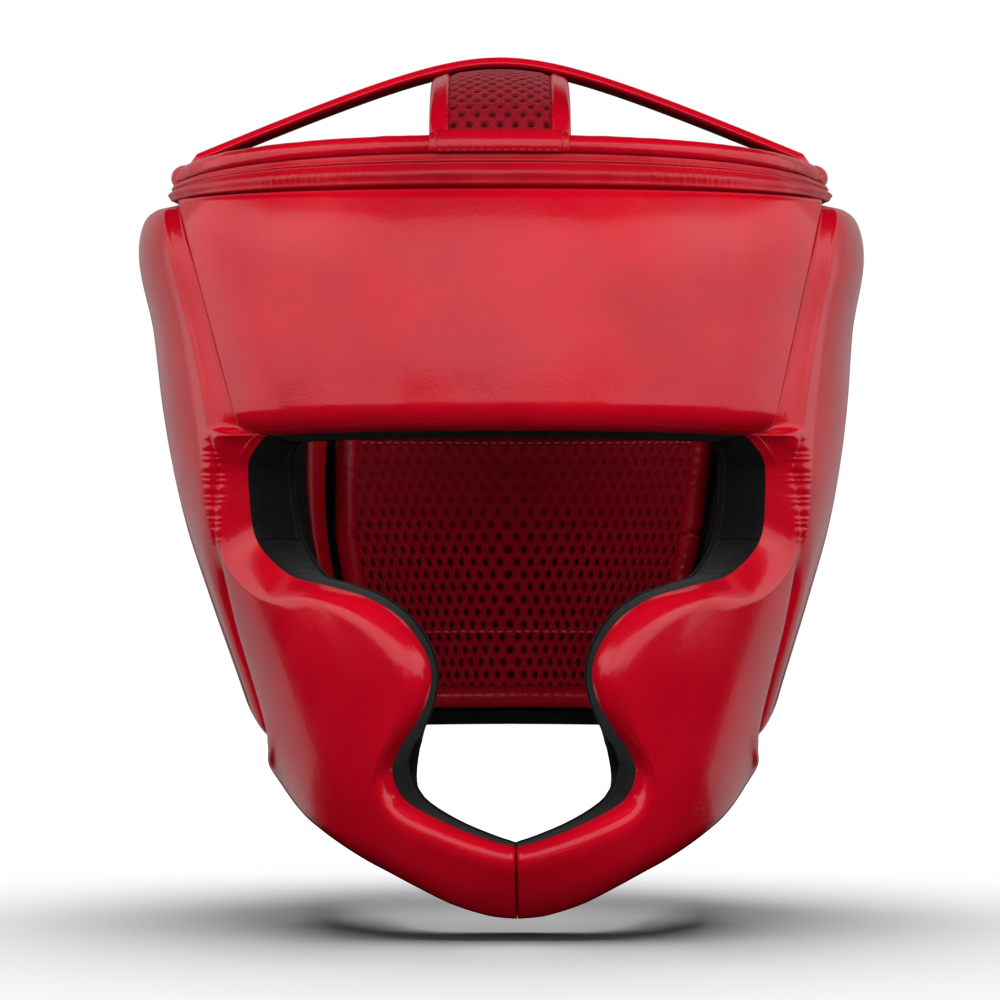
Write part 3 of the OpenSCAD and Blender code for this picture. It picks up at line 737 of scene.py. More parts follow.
def gathers(distance, z):
    """Small pleats where the leather is drawn in beside the eye."""
    pleat = 0.5 + 0.5 * np.cos(2 * math.pi * (z / 2.3 + 0.25 * np.sin(z * 0.9)))
    depth = bell(distance, 0, 3.6) * (0.3 + 0.5 * pleat) + 0.9 * bell(distance, 0, 1.3)
    return window(z, -18, -8, 14, 22) * depth


def valley(v, distance):
    """Depth of the valley that runs along the crease, by the distance from it."""
    return 3.6 * smooth_step(4.3, 5.6, v) * np.clip(1 - distance / 12, 0, 1) ** 2


def cheek_depth(v, z, inner, outer, top_edge, chin):
    """How far the cheek's leather lies below the shell, by station, height and distances to its edges."""
    at_seam = smooth_step(3.7, 2.9, v)
    past_jaw = smooth_step(CREASE_END - 0.6, CREASE_END + 0.4, v)
    seam_groove = chamfer(inner, 11 + 1.5 * v) * 5.6 - 1.3 * bell(inner, 2.6, 0.9)
    slope = chamfer(inner, 13.5) * EDGE_ROLL
    opening = slope + (rolled(inner, 9.5) * EDGE_ROLL - slope) * smooth_step(6.2, 7.4, v)
    brow_dip = 2.5 * bell(z, 20, 5) * smooth_step(12, 2, inner)
    jaw_swell = 2 * bell(v, 9.3, 0.8) * bell(outer, 0, 14)
    depth = seam_groove * at_seam + opening * (1 - at_seam)
    depth = depth + valley(v, outer) * (1 - past_jaw) + rolled(outer, 12) * jaw_depth(v) * past_jaw
    depth = depth + rolled(chin, 2.2) * 1.3 + rolled(top_edge, 8) * 6
    return np.minimum(depth + brow_dip + gathers(outer, z) - jaw_swell, DEEPEST)


def cheek_surfaces(v):
    """The cheek's angles, heights, depths, top, back and bulge at stations v."""
    angle, z = cheek_grid(v, crowded(46))
    inner, outer, top_edge, chin = edge_distances(shell(angle, z))
    station = v[:, None]
    depth = cheek_depth(station, z, inner, outer, top_edge, chin)
    back = shell(tucked(angle, v, inner), z, foam_level(angle))
    bulge = smooth_step(3, 0, inner) * smooth_step(3.4, 4.2, station) * smooth_step(0, 6, chin)
    return angle, z, depth, shell(angle, z, -depth), back, bulge * (1.2 - 0.9 * smooth_step(7, 8, station))


def ear_surfaces(v, edge_angle, edge_z, edge_depth):
    """The ear pad's top, back and distances from its hole. Its first column is the cheek's edge."""
    angle, z, reach = ear_grid(v, EAR_COLUMNS)
    angle[:, 0], z[:, 0] = edge_angle, edge_z
    crease, rear, high, low = edge_distances(shell(angle, z))
    hole_roll = 3.2 * rolled((reach - 1) * 15, 6)
    edge_roll = 6 * both(rolled(high, 8), rolled(rear, 7)) + 7 * rolled(low, 10)
    depth = valley(v[:, None], crease) + gathers(crease, z) + hole_roll + edge_roll
    depth[:, 0] = edge_depth
    puff = 0.4 * smooth_step(0, 10, crease) * smooth_step(1.0, 2.0, reach)
    return shell(angle, z, puff - depth), shell(angle, z, foam_level(angle)), reach


def outside_hole(faces, reach):
    """The faces of the ear pad that reach beyond its hole."""
    return faces[np.any(reach.ravel()[faces] > 1.0, axis=1)]


def side_pad(side):
    """Cheek and ear pad in one piece, which share the points along the crease."""
    name = SIDE_NAMES[side]
    v = stations(1.25, 0.42)
    angle, z, depth, cheek_top, cheek_back, cheek_bulge = cheek_surfaces(v)
    columns, start = angle.shape[1], angle.size
    rows = int(np.sum(v <= CREASE_END))
    edge = (slice(rows), -1)
    ear_top, ear_back, reach = ear_surfaces(v[:rows], angle[edge], z[edge], depth[edge])
    numbers = start + np.arange(reach.size)
    numbers[::EAR_COLUMNS] = np.arange(columns - 1, rows * columns, columns)
    ear_faces = numbers[outside_hole(grid_faces(rows, EAR_COLUMNS), reach)]
    faces = np.concatenate([grid_faces(*angle.shape), ear_faces])
    used, faces = compact(faces[:, ::-1] if side == RIGHT else faces)
    top, back = (mirrored(np.concatenate([cheek.reshape(-1, 3), ear.reshape(-1, 3)]), side)[used]
                 for cheek, ear in ((cheek_top, ear_top), (cheek_back, ear_back)))
    bulge = np.concatenate([cheek_bulge.ravel(), np.zeros(reach.size)])[used]
    piece = closed_piece(f"side_pad_{name}", top, back, faces, PADDED, bulge, 7)
    nodes = [f"{node}_{name}" for node in ("cheek_cover", "cheek_foam", "ear_pad_cover", "ear_pad_foam")]
    hand_over(piece, "root", nodes)


def side_linings(side):
    name = SIDE_NAMES[side]
    v = stations(4, 3)
    angle, z = cheek_grid(v, crowded(12))
    inner, outer = edge_distances(shell(angle, z))[:2]
    lining_piece(f"cheek_lining_cloth_{name}", "root", f"cheek_lining_{name}", tucked(angle, v, inner), z,
                 padding_at(angle), grid_faces(*angle.shape, flip=side == RIGHT), side,
                 puff=1.2 * smooth_step(0, 8, np.minimum(inner, outer)), bulge=0.6)
    angle, z, reach = ear_grid(np.linspace(0, CREASE_END, 90), 48)
    lining_piece(f"ear_lining_cloth_{name}", "root", f"ear_pad_lining_{name}", angle, z,
                 padding_at(angle), outside_hole(grid_faces(*angle.shape, flip=side == RIGHT), reach), side)


def ear_binding(side):
    name = SIDE_NAMES[side]
    turn = circle(72)
    angle, z = ear_point(EAR_SPOT[0] + np.cos(turn) * (EAR_HALF_WIDTH - 1) / PAD_ARC,
                         EAR_SPOT[1] + np.sin(turn) * (EAR_HALF_HEIGHT - 1) / PAD_HEIGHT)
    path = mirrored(shell(angle, z, -3.2), side)
    piece = tube(f"ear_binding_{name}", path, 2.2 + 0.12 * np.sin(turn * 36), [LEATHER], closed=True)
    hand_over(piece, "root", [f"ear_hole_binding_{name}"])

# ---------------------------------------------------------------- wings and flap


def hinge_angle(z):
    """Angle of the hinge between the left wing and the flap."""
    share = np.tan(np.radians(HINGE_POLAR)) * through(SECTIONS, z, 3) / through(SECTIONS, z, 1)
    return 180 - np.degrees(np.arctan(share ** (1 / SQUARENESS)))


def edge_turn(z):
    """How far the free edges of the wing and the flap turn forward at a height."""
    return EDGE_SLANT * np.tanh((EDGE_LEVEL - z) / EDGE_BEND)


def wing_end(z):
    return FREE_WING_END - edge_turn(z)


def flap_end(z):
    return FREE_FLAP_END + edge_turn(z)


def wing_grid(side, rows, columns):
    u, v = np.meshgrid(crowded(columns), crowded(rows))
    low = PAD_LOW_BACK + (WING_LOW - PAD_LOW_BACK) * u
    high = RIM_LEVEL + (WING_HIGH - RIM_LEVEL) * u
    z = low + (high - low) * v
    end = hinge_angle(z) - HINGE_GAP if side == LEFT else wing_end(z)
    return side * (WING_START + (end - WING_START) * u), z


def wing_swell(side, z):
    """How far the wing stands out behind the ear pad. From the front it shows beside the head."""
    swell = 13.5 * window(z, 18, 38, 50, 86) + 13 * window(z, -76, -54, -44, -28)
    if side == LEFT:
        swell = np.maximum(swell, 9 * window(z, -76, -54, 50, 86))
    return swell


def wing(side):
    name = SIDE_NAMES[side]
    angle, z = wing_grid(side, 120, 40)
    first, last, low, high = edge_distances(shell(angle, z))
    sunk = 5 * both(rolled(first, 7), rolled(np.minimum(low, high), 8), rolled(last, 6))
    top = shell(angle, z, wing_swell(side, z) * bell(np.abs(angle), 116, 6) - sunk)
    back = shell(angle, z, foam_level(angle))
    faces = grid_faces(*angle.shape, flip=side == RIGHT)
    piece = closed_piece(f"wing_pad_{name}", top, back, faces, PADDED, 0.4, 5)
    hand_over(piece, "root", [f"wing_cover_{name}", f"wing_foam_{name}"])
    angle, z = wing_grid(side, 24, 10)
    lining_piece(f"wing_lining_cloth_{name}", "root", f"wing_lining_{name}", angle, z,
                 padding_at(angle), grid_faces(*angle.shape, flip=side == RIGHT))


def flap_grid(rows, columns):
    u, v = np.meshgrid(crowded(columns), crowded(rows))
    z = FLAP_LOW + (FLAP_HIGH - FLAP_LOW) * v
    start = hinge_angle(z) + HINGE_GAP
    return start + (flap_end(z) - start) * u, z


def flap():
    angle, z = flap_grid(120, 130)
    first, last, low, high = edge_distances(shell(angle, z))
    sunk = 6 * both(rolled(np.minimum(first, last), 8), rolled(np.minimum(low, high), 9))
    back = shell(angle, z, foam_level(angle))
    faces = grid_faces(*angle.shape)
    piece = closed_piece("flap_pad", shell(angle, z, -sunk), back, faces, PADDED, 0.5, 6)
    hand_over(piece, "rear_flap", ["flap_cover", "flap_foam"])
    angle, z = flap_grid(40, 50)
    lining_piece("flap_lining_cloth", "rear_flap", "flap_lining", angle, z, padding_at(angle),
                 grid_faces(*angle.shape))


MESH_START = float(hinge_angle(np.array(0.0))) + 3.5


def mesh_end(z):
    return flap_end(z) - MESH_MARGIN


def holes(across, up, size):
    """1 in the middle of each hole of a staggered mesh, falling to 0 at the hole's rim."""
    row = np.round(up / HOLE_UP)
    shift = 0.5 * (row % 2)
    column = np.round(across / HOLE_ACROSS - shift) + shift
    dx = (across - column * HOLE_ACROSS) / size[0]
    dz = (up - row * HOLE_UP) / size[1]
    return smooth_step(1.0, 0.45, np.sqrt(dx * dx + dz * dz))


def mesh_cushion():
    """Mesh pad inside the flap, puffed up between its edges and its quilting lines."""
    u, v = np.meshgrid(np.linspace(0, 1, 280), np.linspace(0, 1, 250))
    z = MESH_LOW + 2 + (MESH_HIGH - MESH_LOW - 4) * v
    start, end = MESH_START + 1.2, mesh_end(z) - 1.2
    corner = np.abs(2 * v - 1) ** 14
    angle = start + (end - start) * (0.5 + (u - 0.5) * (1 - 0.06 * corner))
    around = np.radians(angle - 180) * 94
    # Holes: the mesh sinks there and its colour is painted shade, both weaker towards the top.
    pit_and_shade = holes(around, z, (1.4, 1.9)) * (0.4 + 0.6 * smooth_step(8, -22, z))
    left, right, low, high = edge_distances(shell(angle, z, -PADDING))
    puff = 2.6 * smooth_step(0, 16, np.minimum(np.minimum(left, right), np.minimum(low, high)))
    quilt = sum(1.5 * bell(z, line, 2.6) for line in QUILT_LINES)
    depth = padding_at(angle)
    inner_face = shell(angle, z, -depth - (4.6 + puff - quilt - 1.3 * pit_and_shade))
    outer_face = shell(angle, z, -depth - 0.6)
    faces = grid_faces(*angle.shape, flip=True)
    piece = closed_piece("flap_mesh_cushion", inner_face, outer_face, faces, [MESH, LINING_CLOTH],
                         attributes={"pit_and_shade": pit_and_shade})
    hand_over(piece, "rear_flap", ["flap_mesh_pad"])


def cushion_binding():
    turn = circle(220)
    z = (MESH_LOW + MESH_HIGH) / 2 + (MESH_HIGH - MESH_LOW) / 2 * signed_pow(np.sin(turn), 0.16)
    middle, half = (MESH_START + mesh_end(z)) / 2, (mesh_end(z) - MESH_START) / 2
    angle = middle + half * signed_pow(np.cos(turn), 0.16)
    path = even_path(shell(angle, z, -padding_at(angle) - 3.6), 1.2, closed=True)
    ripple = 0.12 * np.sin(np.arange(len(path)) * 1.9)
    # The binding takes the darker leather, painted shade for the inside of the head.
    piece = tube("flap_cushion_binding", path, 3.8 + ripple, [LEATHER_SHADE_PAINTED], closed=True)
    hand_over(piece, "rear_flap", ["flap_pad_binding"])


def cushion_stitches():
    lines = []
    for line in QUILT_LINES:
        across = np.linspace(MESH_START + 3, float(mesh_end(np.array(line))) - 3, 160)
        lines.append(shell(across, line, -padding_at(across) - 6.0))
    # The quilting stitches take the paler thread, a painted highlight.
    sew("flap_cushion_stitches", "rear_flap", lines, 3.2, 2.2, 0.42, THREAD_HIGHLIGHT_PAINTED)


def wing_binding():
    """Binding over the right wing's free edge, which wraps on to the inner face."""
    sides, rows = 28, 110
    depth = PADDING - 2.5
    turn = circle(sides)
    out = -2.5 - depth / 2 + signed_pow(np.cos(turn), 0.5) * depth / 2
    wrap = smooth_step(8 - PADDING, 2 - PADDING, out)
    out = out - 2.2 * wrap
    reach = signed_pow(np.sin(turn), 0.7) * 2.2 + 3.6 * wrap * (np.sin(turn) > -0.05)
    z = np.linspace(WING_LOW + 3, WING_HIGH - 3, rows)[:, None]
    points = shell(reach - wing_end(z) - 2.3, z, out)
    # The binding takes the darker leather, painted shade for its place inside the head.
    piece = make_object("wing_binding", points, tube_faces(rows, sides), [LEATHER_SHADE_PAINTED])
    hand_over(piece, "root", ["wing_edge_binding"])


def band(name, body, angles, heights, outer, inner, material, nodes, roll=0.5, spacing=1.6):
    """Thin strip with softened edges that follows the shell."""
    length = math.radians(abs(angles[1] - angles[0])) * 112
    columns = max(6, int(length / spacing))
    rows = max(6, int(abs(heights[1] - heights[0]) / spacing))
    u, v = np.meshgrid(crowded(columns), crowded(rows))
    angle = angles[0] + (angles[1] - angles[0]) * u
    z = heights[0] + (heights[1] - heights[0]) * v
    first, last, low, high = edge_distances(shell(angle, z))
    sunk = roll * both(rolled(np.minimum(first, last), 1.5), rolled(np.minimum(low, high), 1.5))
    top, back = shell(angle, z, outer - sunk), shell(angle, z, inner)
    piece = closed_piece(name, top, back, grid_faces(rows, columns), [material], 0.15, 3)
    hand_over(piece, body, nodes)


def closure():
    low, high = CLOSURE_MIDDLE - CLOSURE_HEIGHT / 2, CLOSURE_MIDDLE + CLOSURE_HEIGHT / 2
    top = CLOSURE_LIFT + 1.7
    band("closure_sewn_base", "rear_flap", (CLOSURE_ROOT - 16, CLOSURE_ROOT - 0.2), (low, high),
         top, 0.5, LEATHER, ["closure_base"], roll=0.9)
    band("closure_elastic", "closure", (CLOSURE_ROOT, CLOSURE_TIP), (low, high),
         top, CLOSURE_LIFT, WEBBING, ["closure_strap"])
    band("closure_hooks", "closure", (HOOK_START, CLOSURE_TIP - 1), (low + 3, high - 3),
         CLOSURE_LIFT - 0.1, CLOSURE_LIFT - 1.2, HOOK_TAPE, ["closure_hook_patch"], roll=0.2)
    band("closure_tab", "closure", (CLOSURE_TIP + 0.1, CLOSURE_TAB), (low + 5, high - 5),
         top + 0.4, CLOSURE_LIFT - 0.4, LEATHER, ["closure_pull_tab"], roll=1.2)
    band("wing_loops", "root", (HOOK_START + 1, CLOSURE_TAB - 2), (low + 1, high - 1),
         CLOSURE_LIFT - 1.6, CLOSURE_LIFT - 2.8, LOOP_TAPE, ["wing_loop_patch"], roll=0.3)
    band("flap_loops", "rear_flap", (168, 192), (53, 69),
         -PADDING - 0.5, -PADDING - 1.7, LOOP_TAPE, ["flap_loop_patch"], roll=0.1)
    z = np.linspace(low + 2.5, high - 2.5, 60)
    across = np.linspace(CLOSURE_ROOT - 14, CLOSURE_ROOT - 2, 30)
    lines = [shell(angle, z, top + 0.1) for angle in (CLOSURE_ROOT - 14, CLOSURE_ROOT - 2.2)]
    lines += [shell(across, level, top + 0.1) for level in (low + 2.5, high - 2.5)]
    sew("closure_base_stitches", "rear_flap", lines)
    z = np.linspace(low + 7, high - 7, 60)
    lines = [shell(angle, z, top + 0.45) for angle in (CLOSURE_TIP + 1.2, CLOSURE_TAB - 1.4)]
    sew("closure_tab_stitches", "closure", lines)

# ---------------------------------------------------------------- rim


def rim_height(angle):
    return RIM_FRONT + (RIM_SIDE - RIM_FRONT) * (angle / KNOB_ANGLE) ** 2


def rim_bead():
    angle = np.linspace(-KNOB_ANGLE, KNOB_ANGLE, 420)
    path = shell(angle, rim_height(angle), -RIM_CORD)
    end = np.abs(angle) / KNOB_ANGLE
    knob = 0.7 * smooth_step(0.95, 0.985, end) - 0.35 * bell(end, 0.945, 0.012)
    lumps = 0.12 * soft_noise(path, 5, 1) + 0.1 * soft_noise(path, 14, 2)
    piece = tube("rim_bead", path, RIM_CORD - 0.15 + knob + lumps, [LEATHER], sides=28)
    hand_over(piece, "root", ["rim_binding"])


def rim_band():
    """Gathered leather between the padding and the bead, in the darker leather: painted shade for its
    recess.
    """
    u, v = np.meshgrid(np.linspace(0, 1, 520), np.linspace(0, 1, 44))
    angle = KNOB_ANGLE * (1 - 2 * u)
    low, high = RIM_LEVEL + SEAM, rim_height(angle) - RIM_CORD + 0.6
    z = low + (high - low) * v
    arc = angle * 1.9
    pleats = np.sin(arc * 2.6 + 1.3 * np.sin(arc * 0.31)) + 0.5 * np.sin(arc * 1.3 + 2.0 * v)
    wrinkle = 0.16 * bell(np.abs(angle), 30, 11) * pleats * bell(v, 0.55, 0.3)
    ridge = 1.7 * bell(v, 0.52, 0.22)
    welt = smooth_step(0.74, 0.82, v)
    tuck = 2.6 * smooth_step(0.22, 0.0, v)
    lumps = 0.3 * soft_noise(shell(angle, z), 9, 3)
    top = shell(angle, z, -4.6 + 1.8 * v + ridge + welt - tuck + wrinkle + lumps)
    piece = closed_piece("rim_gathered_band", top, shell(angle, z, v - 7), grid_faces(*angle.shape),
                         [LEATHER_SHADE_PAINTED, LINING_CLOTH])
    hand_over(piece, "root", ["rim_band"])

# ---------------------------------------------------------------- straps over the crown


def arch_height(x):
    return ARCH_TOP - ARCH_SLOPE * (np.sqrt(x * x + ARCH_ROUND ** 2) - ARCH_ROUND)


def arch_path():
    x = np.linspace(-101, 101, 161)
    body = np.stack([x, arch_height(x)], axis=1)
    end = np.array([[104.6, 109.8], [106.2, 106], [106.9, 101], [107, 97.6]])
    path = np.concatenate([end[::-1] * [-1, 1], body, end])
    return even_path(np.stack([path[:, 0], np.zeros(len(path)), path[:, 1]], axis=1), 1.2)


def along_path(path):
    """Direction of a path at each of its points."""
    along = np.gradient(path, axis=0)
    return along / np.linalg.norm(along, axis=1, keepdims=True)


def arch_strap():
    """Strap from ear to ear, made of an upper leather and a dull back that meet at a seam. The back's
    darker red is painted shade under the strap.
    """
    path = arch_path()
    along = along_path(path)
    inward = np.stack([along[:, 2], np.zeros(len(path)), -along[:, 0]], axis=1)
    half = ARCH_THICKNESS / 2
    middle = path + inward * half
    width = np.linspace(-1, 1, 33)
    edge = 1 - rolled((1 - np.abs(width)) * ARCH_HALF, 1.7)
    crown = 0.25 * (1 - width ** 2) - 0.45 * bell(np.abs(width), STITCH_PLACE, 0.07)

    def face(depths, narrowed=1.0):
        across = np.array([0, 1.0, 0]) * (width * ARCH_HALF * narrowed)[:, None]
        return middle[:, None] + across + inward[:, None] * (depths * np.ones(len(width)))[:, None]

    top = face(-(half * (0.1 + 0.9 * edge) + crown * edge))
    seam = face(half * 0.55, narrowed=0.995)
    base = face(half * (0.6 + 0.4 * edge))
    faces = grid_faces(len(path), len(width), flip=True)
    piece = closed_piece("arch_strap_leather", top, seam, faces, [LEATHER], 0.25, 3)
    hand_over(piece, "root", ["arch_strap_top", "arch_strap_core"])
    piece = closed_piece("arch_strap_back", seam, base, faces, [LEATHER_DULL_SHADE_PAINTED], 0.1, 3)
    hand_over(piece, "root", ["arch_strap_underside"])
    lines = [(middle + [0, share * ARCH_HALF, 0] - inward * (half - 0.28))[8:-8]
             for share in (-STITCH_PLACE, STITCH_PLACE)]
    sew("arch_strap_stitches", "root", lines, radius=0.26)


def crown_sag(x, y):
    return (ARCH_TOP - arch_height(x)) * np.maximum(0, 1 - (y / 90) ** 2)


def crown_curve(spacing):
    """The crown strap's middle line, smoothed, from the front to the back."""
    rows = np.column_stack([np.arange(len(CROWN_LINE)), CROWN_LINE])
    fine = np.linspace(0, len(rows) - 1, 600)
    line = np.stack([np.zeros(len(fine)), through(rows, fine, 1), through(rows, fine, 2)], axis=1)
    return even_path(line, spacing)


def crown_surface(spacing, xs, depths):
    """Points of the strap for each step along it and each x, at depths below its upper face."""
    line = crown_curve(spacing)
    along = along_path(line)
    inward = np.stack([np.zeros(len(line)), along[:, 2], -along[:, 1]], axis=1)
    points = line[:, None] + inward[:, None] * np.asarray(depths)[..., None]
    points[..., 0] = xs
    points[..., 2] -= crown_sag(points[..., 0], points[..., 1])
    return points


def crown_mesh():
    spacing, half = 0.8, CROWN_INNER + 0.4
    xs = np.linspace(-half, half, 46)[None]
    run = np.arange(len(crown_curve(spacing)))[:, None] * spacing
    # Holes: the mesh sinks there and its colour is painted shade.
    pit_and_shade = holes(xs, run, (1.5, 1.9))
    top = crown_surface(spacing, xs, 0.9 - 0.7 * smooth_step(0, 3, half - np.abs(xs)) + 0.8 * pit_and_shade)
    back = crown_surface(spacing, xs, np.full(pit_and_shade.shape, 3.8))
    piece = closed_piece("crown_mesh", top, back, grid_faces(*pit_and_shade.shape), [CROWN_MESH, LINING_CLOTH],
                         attributes={"pit_and_shade": pit_and_shade})
    hand_over(piece, "root", ["crown_strap_mesh", "crown_strap_core"])


def crown_lining():
    xs = np.linspace(-CROWN_INNER, CROWN_INNER, 12)
    top, back = (crown_surface(3, xs, np.full((1, len(xs)), depth)) for depth in (3.95, 4.7))
    piece = closed_piece("crown_lining", top, back, grid_faces(*top.shape[:2]), [LINING_CLOTH])
    hand_over(piece, "root", ["crown_strap_lining"])


def crown_binding(side):
    """Binding along one edge of the crown strap, with its stitches."""
    name = SIDE_NAMES[side]
    turn = circle(24)
    across, deep = signed_pow(np.cos(turn), 0.75), signed_pow(np.sin(turn), 0.75)
    ridge = 0.5 * bell(across, -0.55, 0.3) * (deep < 0)
    xs = side * (CROWN_HALF - CROWN_EDGE / 2 + across * CROWN_EDGE / 2)
    points = crown_surface(1.5, xs, (2.7 + deep * 2.6 - ridge)[None])
    faces = tube_faces(*points.shape[:2], flip=side == LEFT)
    piece = make_object(f"crown_binding_{name}", points, faces, [LEATHER])
    hand_over(piece, "root", [f"crown_strap_binding_{name}"])
    line = crown_surface(1.5, side * (CROWN_INNER + 1.1), np.array([[0.35]]))[:, 0]
    sew(f"crown_stitches_{name}", "root", [line], radius=0.3)


def round_rim(angle, turn, distance):
    """Points round the rim's cord at an angle of the shell, turned up from the front of the cord."""
    direction = np.stack([np.zeros_like(turn), -np.cos(turn), np.sin(turn)], axis=-1)
    return shell(angle, rim_height(angle), -RIM_CORD) + direction * np.asarray(distance)[..., None]


def crown_tab():
    """Leather tab that wraps the crown strap's front end round the rim."""
    reach = float(angle_at(CROWN_HALF, np.array(float(RIM_FRONT))))
    inside = RIM_CORD + SEAM
    turn, angle = np.meshgrid(np.radians(np.linspace(-30, 125, 60)), np.linspace(-reach, reach, 48),
                              indexing="ij")
    edge = smooth_step(0, 1.4, reach - np.abs(angle))
    top = round_rim(angle, turn, inside + 1.2 - 0.7 * (1 - edge))
    back = round_rim(angle, turn, inside)
    piece = closed_piece("crown_tab_leather", top, back, grid_faces(*angle.shape), [LEATHER], 0.2, 3)
    hand_over(piece, "root", ["crown_strap_front_tab"])
    turn = np.radians(np.linspace(-24, 110, 40))
    lines = [round_rim(np.full(len(turn), angle), turn, inside + 1.25)
             for angle in (-reach + 0.9, reach - 0.9)]
    across = np.linspace(-reach + 1, reach - 1, 60)
    lines.append(round_rim(across, np.radians(-22), inside + 1.25))
    sew("crown_tab_stitches", "root", lines, 2.6, 1.9, 0.28)


def tail_slab(name, half, low, high, front, rear, material, nodes, waves):
    """Upright slab of the crown strap's tail, with ribs on its rear face."""
    x, z = np.meshgrid(np.linspace(-half, half, 48), np.linspace(low, high, 60))
    ribs = waves * np.cos(x * 2 * math.pi / 1.7)
    top = np.stack([x, rear + ribs, z], axis=-1)
    back = np.stack([x, np.full_like(x, front), z], axis=-1)
    piece = closed_piece(name, top, back, grid_faces(*x.shape, flip=True), [material], 0.15, 3)
    hand_over(piece, "crown_tail", nodes)


def crown_tail():
    tail_slab("tail_webbing", 20, 52, 96.3, 89.0, 91.1, WEBBING, ["crown_tail_webbing"], 0.1)
    tail_slab("tail_hooks", 18, 53, 69, 91.3, 92.3, HOOK_TAPE, ["crown_tail_hook_patch"], 0.04)

# ---------------------------------------------------------------- seams and hinge


def seam_stitches(side):
    z = np.linspace(26, 92, 200)
    angle = angle_at(seam_x(z) + SEAM + 4.4, z, 4.0)
    path = mirrored(shell(angle, z, -2.9), side)
    sew(f"seam_stitches_{SIDE_NAMES[side]}", "root", [path], 2.8, 1.9, 0.26)


def hinge_strip():
    """Thin leather sunk between the left wing and the flap."""
    half_width = 3.2
    z, share = np.meshgrid(np.linspace(FLAP_LOW + 4, FLAP_HIGH - 4, 60), np.linspace(-1, 1, 17),
                           indexing="ij")
    angle = hinge_angle(z) + share * half_width
    dip = 4.2 * (1 - np.abs(share)) ** 0.7
    top, back = shell(angle, z, 0.9 - dip), shell(angle, z, -0.6 - dip)
    # The sunk strip takes the darker leather, painted shade for its groove.
    piece = closed_piece("hinge_leather", top, back, grid_faces(*z.shape), [LEATHER_SHADE_PAINTED], 0.1, 3)
    middle = hinge_angle(np.array(0.0))
    start, end = (tuple(shell(middle + turn, 0.0) / 1000) for turn in (-half_width, half_width))
    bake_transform(piece)

# ---------------------------------------------------------------- studio


def aim(thing, target):
    thing.rotation_mode = "QUATERNION"
    thing.rotation_quaternion = (Vector(target) - thing.location).to_track_quat("-Z", "Y")


def softbox(name, place, target, width, height, radiance):
    """Rectangular lamp of a given brightness, sizes in metres."""
    data = bpy.data.lights.new(name, "AREA")
    data.shape = "RECTANGLE"
    data.size, data.size_y = width, height
    data.energy = radiance * math.pi * width * height
    light = bpy.data.objects.new(name, data)
    light.location = place
    bpy.context.scene.collection.objects.link(light)
    aim(light, target)
    return light


def light_only(light, receiver, state):
    """Links a light so that it lights the receiver alone, or everything but the receiver."""
    group = bpy.data.collections.new(light.name + "_receivers")
    group.objects.link(receiver)
    group.collection_objects[0].light_linking.link_state = state
    light.light_linking.receiver_collection = group


# Soft lamps: name, place, width and height in metres, and brightness
LAMPS = (
    ("front", (0, -1.7, 0.9), 1.4, 0.8, 2.0),
    ("front_low", (0, -1.95, 0.22), 1.0, 0.4, 6.5),
    ("left", (-1.35, -0.6, 0.9), 1.4, 0.8, 4.7),
    ("right", (1.35, -0.6, 0.9), 1.4, 0.8, 4.7),
    ("rear", (0, 1.5, 1.0), 1.6, 0.8, 4.0),
)
# The lamp for the floor's soft shadow, which lights nothing else
FLOOR_LAMPS = (
    ("floor_lamp", (0, 0.45, 1.4), 1.3, 1.7, 20.0),
)
# The ring of panels that shows in the gloss of the leather, from the front round: lower edge and
# brightness. The ring is alike on both sides.
SIDE_PANELS = ((0.01, 1.1), (-0.06, 0.9), (-0.25, 0.35))
PANELS = ((0.055, 1.1), *SIDE_PANELS, (0.1, 0.3), *SIDE_PANELS[::-1])
PANEL_TOP = 0.42
FILL = 0.12  # even light from all sides, which the gloss doesn't show
RING_RADIUS = 0.5
CAMERA_DISTANCE = 1.7
VIEW_HALF = 0.1675  # half the width that the camera sees at the origin
FLOOR_LEVEL, FLOOR_HALF = -137, 1200  # millimetres


def lights(floor):
    for lamps, state in ((LAMPS, "EXCLUDE"), (FLOOR_LAMPS, "INCLUDE")):
        for name, place, width, height, radiance in lamps:
            lamp = softbox(name, place, (0, 0, 0), width, height, radiance)
            lamp.visible_glossy = False
            light_only(lamp, floor, state)
    count = len(PANELS)
    for i, (low, brightness) in enumerate(PANELS):
        turn = 2 * math.pi * i / count
        middle = (low + PANEL_TOP) / 2
        place = (RING_RADIUS * math.sin(turn), -RING_RADIUS * math.cos(turn), middle)
        width = 2 * RING_RADIUS * math.tan(math.pi / count)
        panel = softbox(f"panel_{i}", place, (0, 0, middle), width, PANEL_TOP - low, brightness)
        panel.visible_camera = False
        panel.visible_diffuse = False


def camera(scene):
    """Camera at the photograph's distance, aimed level at the frame's origin."""
    data = bpy.data.cameras.new("camera")
    data.sensor_width = 36
    data.lens = data.sensor_width / 2 * CAMERA_DISTANCE / VIEW_HALF
    thing = bpy.data.objects.new("camera", data)
    thing.location = (0, -CAMERA_DISTANCE, 0)
    thing.rotation_euler = (math.pi / 2, 0, 0)
    scene.collection.objects.link(thing)
    scene.camera = thing


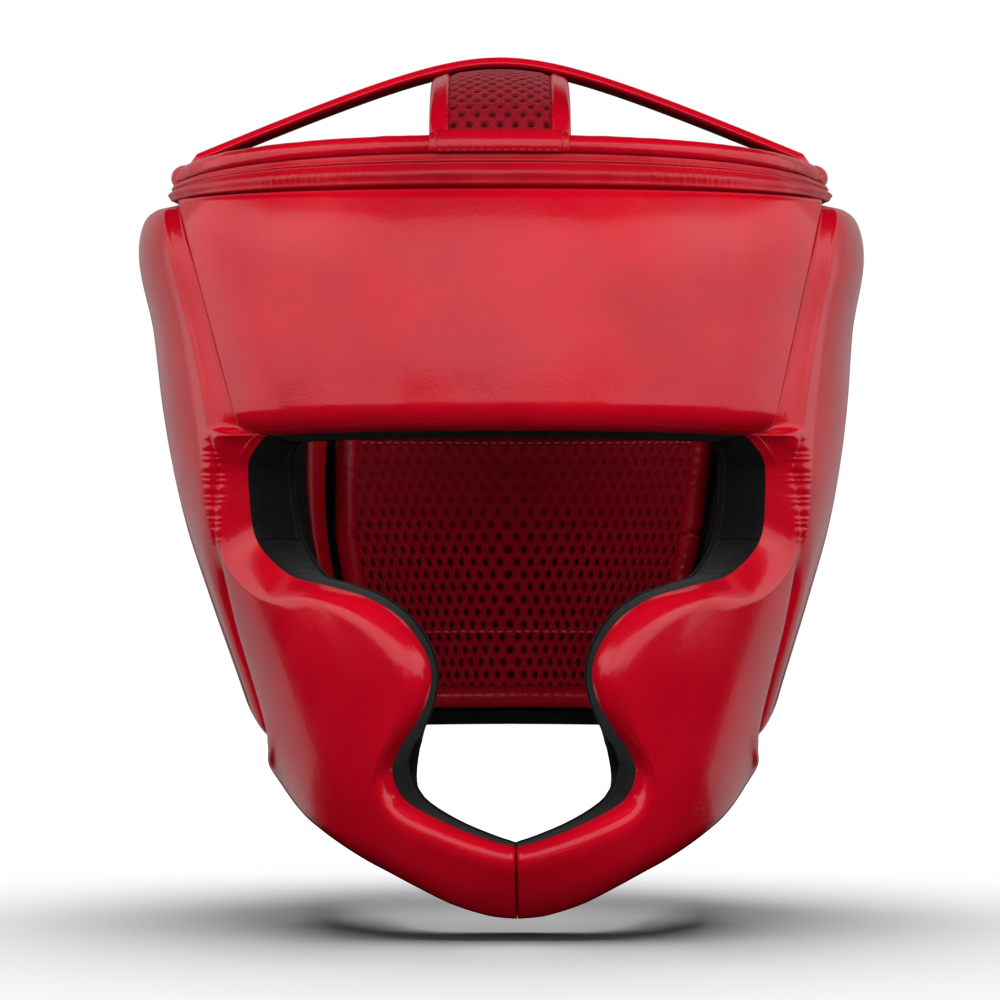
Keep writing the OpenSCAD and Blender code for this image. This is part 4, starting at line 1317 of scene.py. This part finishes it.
def surroundings():
    """World that the camera sees as white and that adds a little even light to diffuse surfaces."""
    world = bpy.data.worlds.new("studio")
    world.use_nodes = True
    nodes, links = world.node_tree.nodes, world.node_tree.links
    seen = nodes["Background"]
    seen.inputs["Color"].default_value = (1, 1, 1, 1)
    fill = nodes.new("ShaderNodeBackground")
    fill.inputs["Color"].default_value = (0.8, 0.8, 0.8, 1)
    path, mix = nodes.new("ShaderNodeLightPath"), nodes.new("ShaderNodeMixShader")
    strength = nodes.new("ShaderNodeMath")
    strength.operation = "MULTIPLY"
    strength.inputs[1].default_value = FILL
    links.new(path.outputs["Is Diffuse Ray"], strength.inputs[0])
    links.new(strength.outputs[0], fill.inputs["Strength"])
    links.new(path.outputs["Is Camera Ray"], mix.inputs["Fac"])
    links.new(fill.outputs[0], mix.inputs[1])
    links.new(seen.outputs[0], mix.inputs[2])
    links.new(mix.outputs[0], nodes["World Output"].inputs["Surface"])
    return world


def shadow_floor():
    """Floor that shows nothing but the shadow on it."""
    corners = [(-FLOOR_HALF, -FLOOR_HALF), (FLOOR_HALF, -FLOOR_HALF),
               (FLOOR_HALF, FLOOR_HALF), (-FLOOR_HALF, FLOOR_HALF)]
    pale = Shader("floor_pale", Base_Color=(0.25, 0.25, 0.25, 1), Roughness=0.9).material
    points = [(x, y, FLOOR_LEVEL) for x, y in corners]
    floor = make_object("floor", points, [[0, 1, 2, 3]], [pale])
    floor.is_shadow_catcher = True
    floor.visible_glossy = False
    floor.visible_diffuse = False
    return floor


def studio():
    scene = bpy.context.scene
    scene.view_settings.view_transform = "Standard"
    camera(scene)
    scene.world = surroundings()
    lights(shadow_floor())

# ---------------------------------------------------------------- the scene

SIDES = (LEFT, RIGHT)

forehead()
forehead_lining()
for each_side in SIDES:
    side_pad(each_side)
    side_linings(each_side)
    ear_binding(each_side)
    wing(each_side)
wing_binding()
flap()
mesh_cushion()
cushion_binding()
cushion_stitches()
closure()
rim_bead()
rim_band()
arch_strap()
crown_mesh()
crown_lining()
for each_side in SIDES:
    crown_binding(each_side)
crown_tab()
crown_tail()
for each_side in SIDES:
    seam_stitches(each_side)
hinge_strip()
studio()
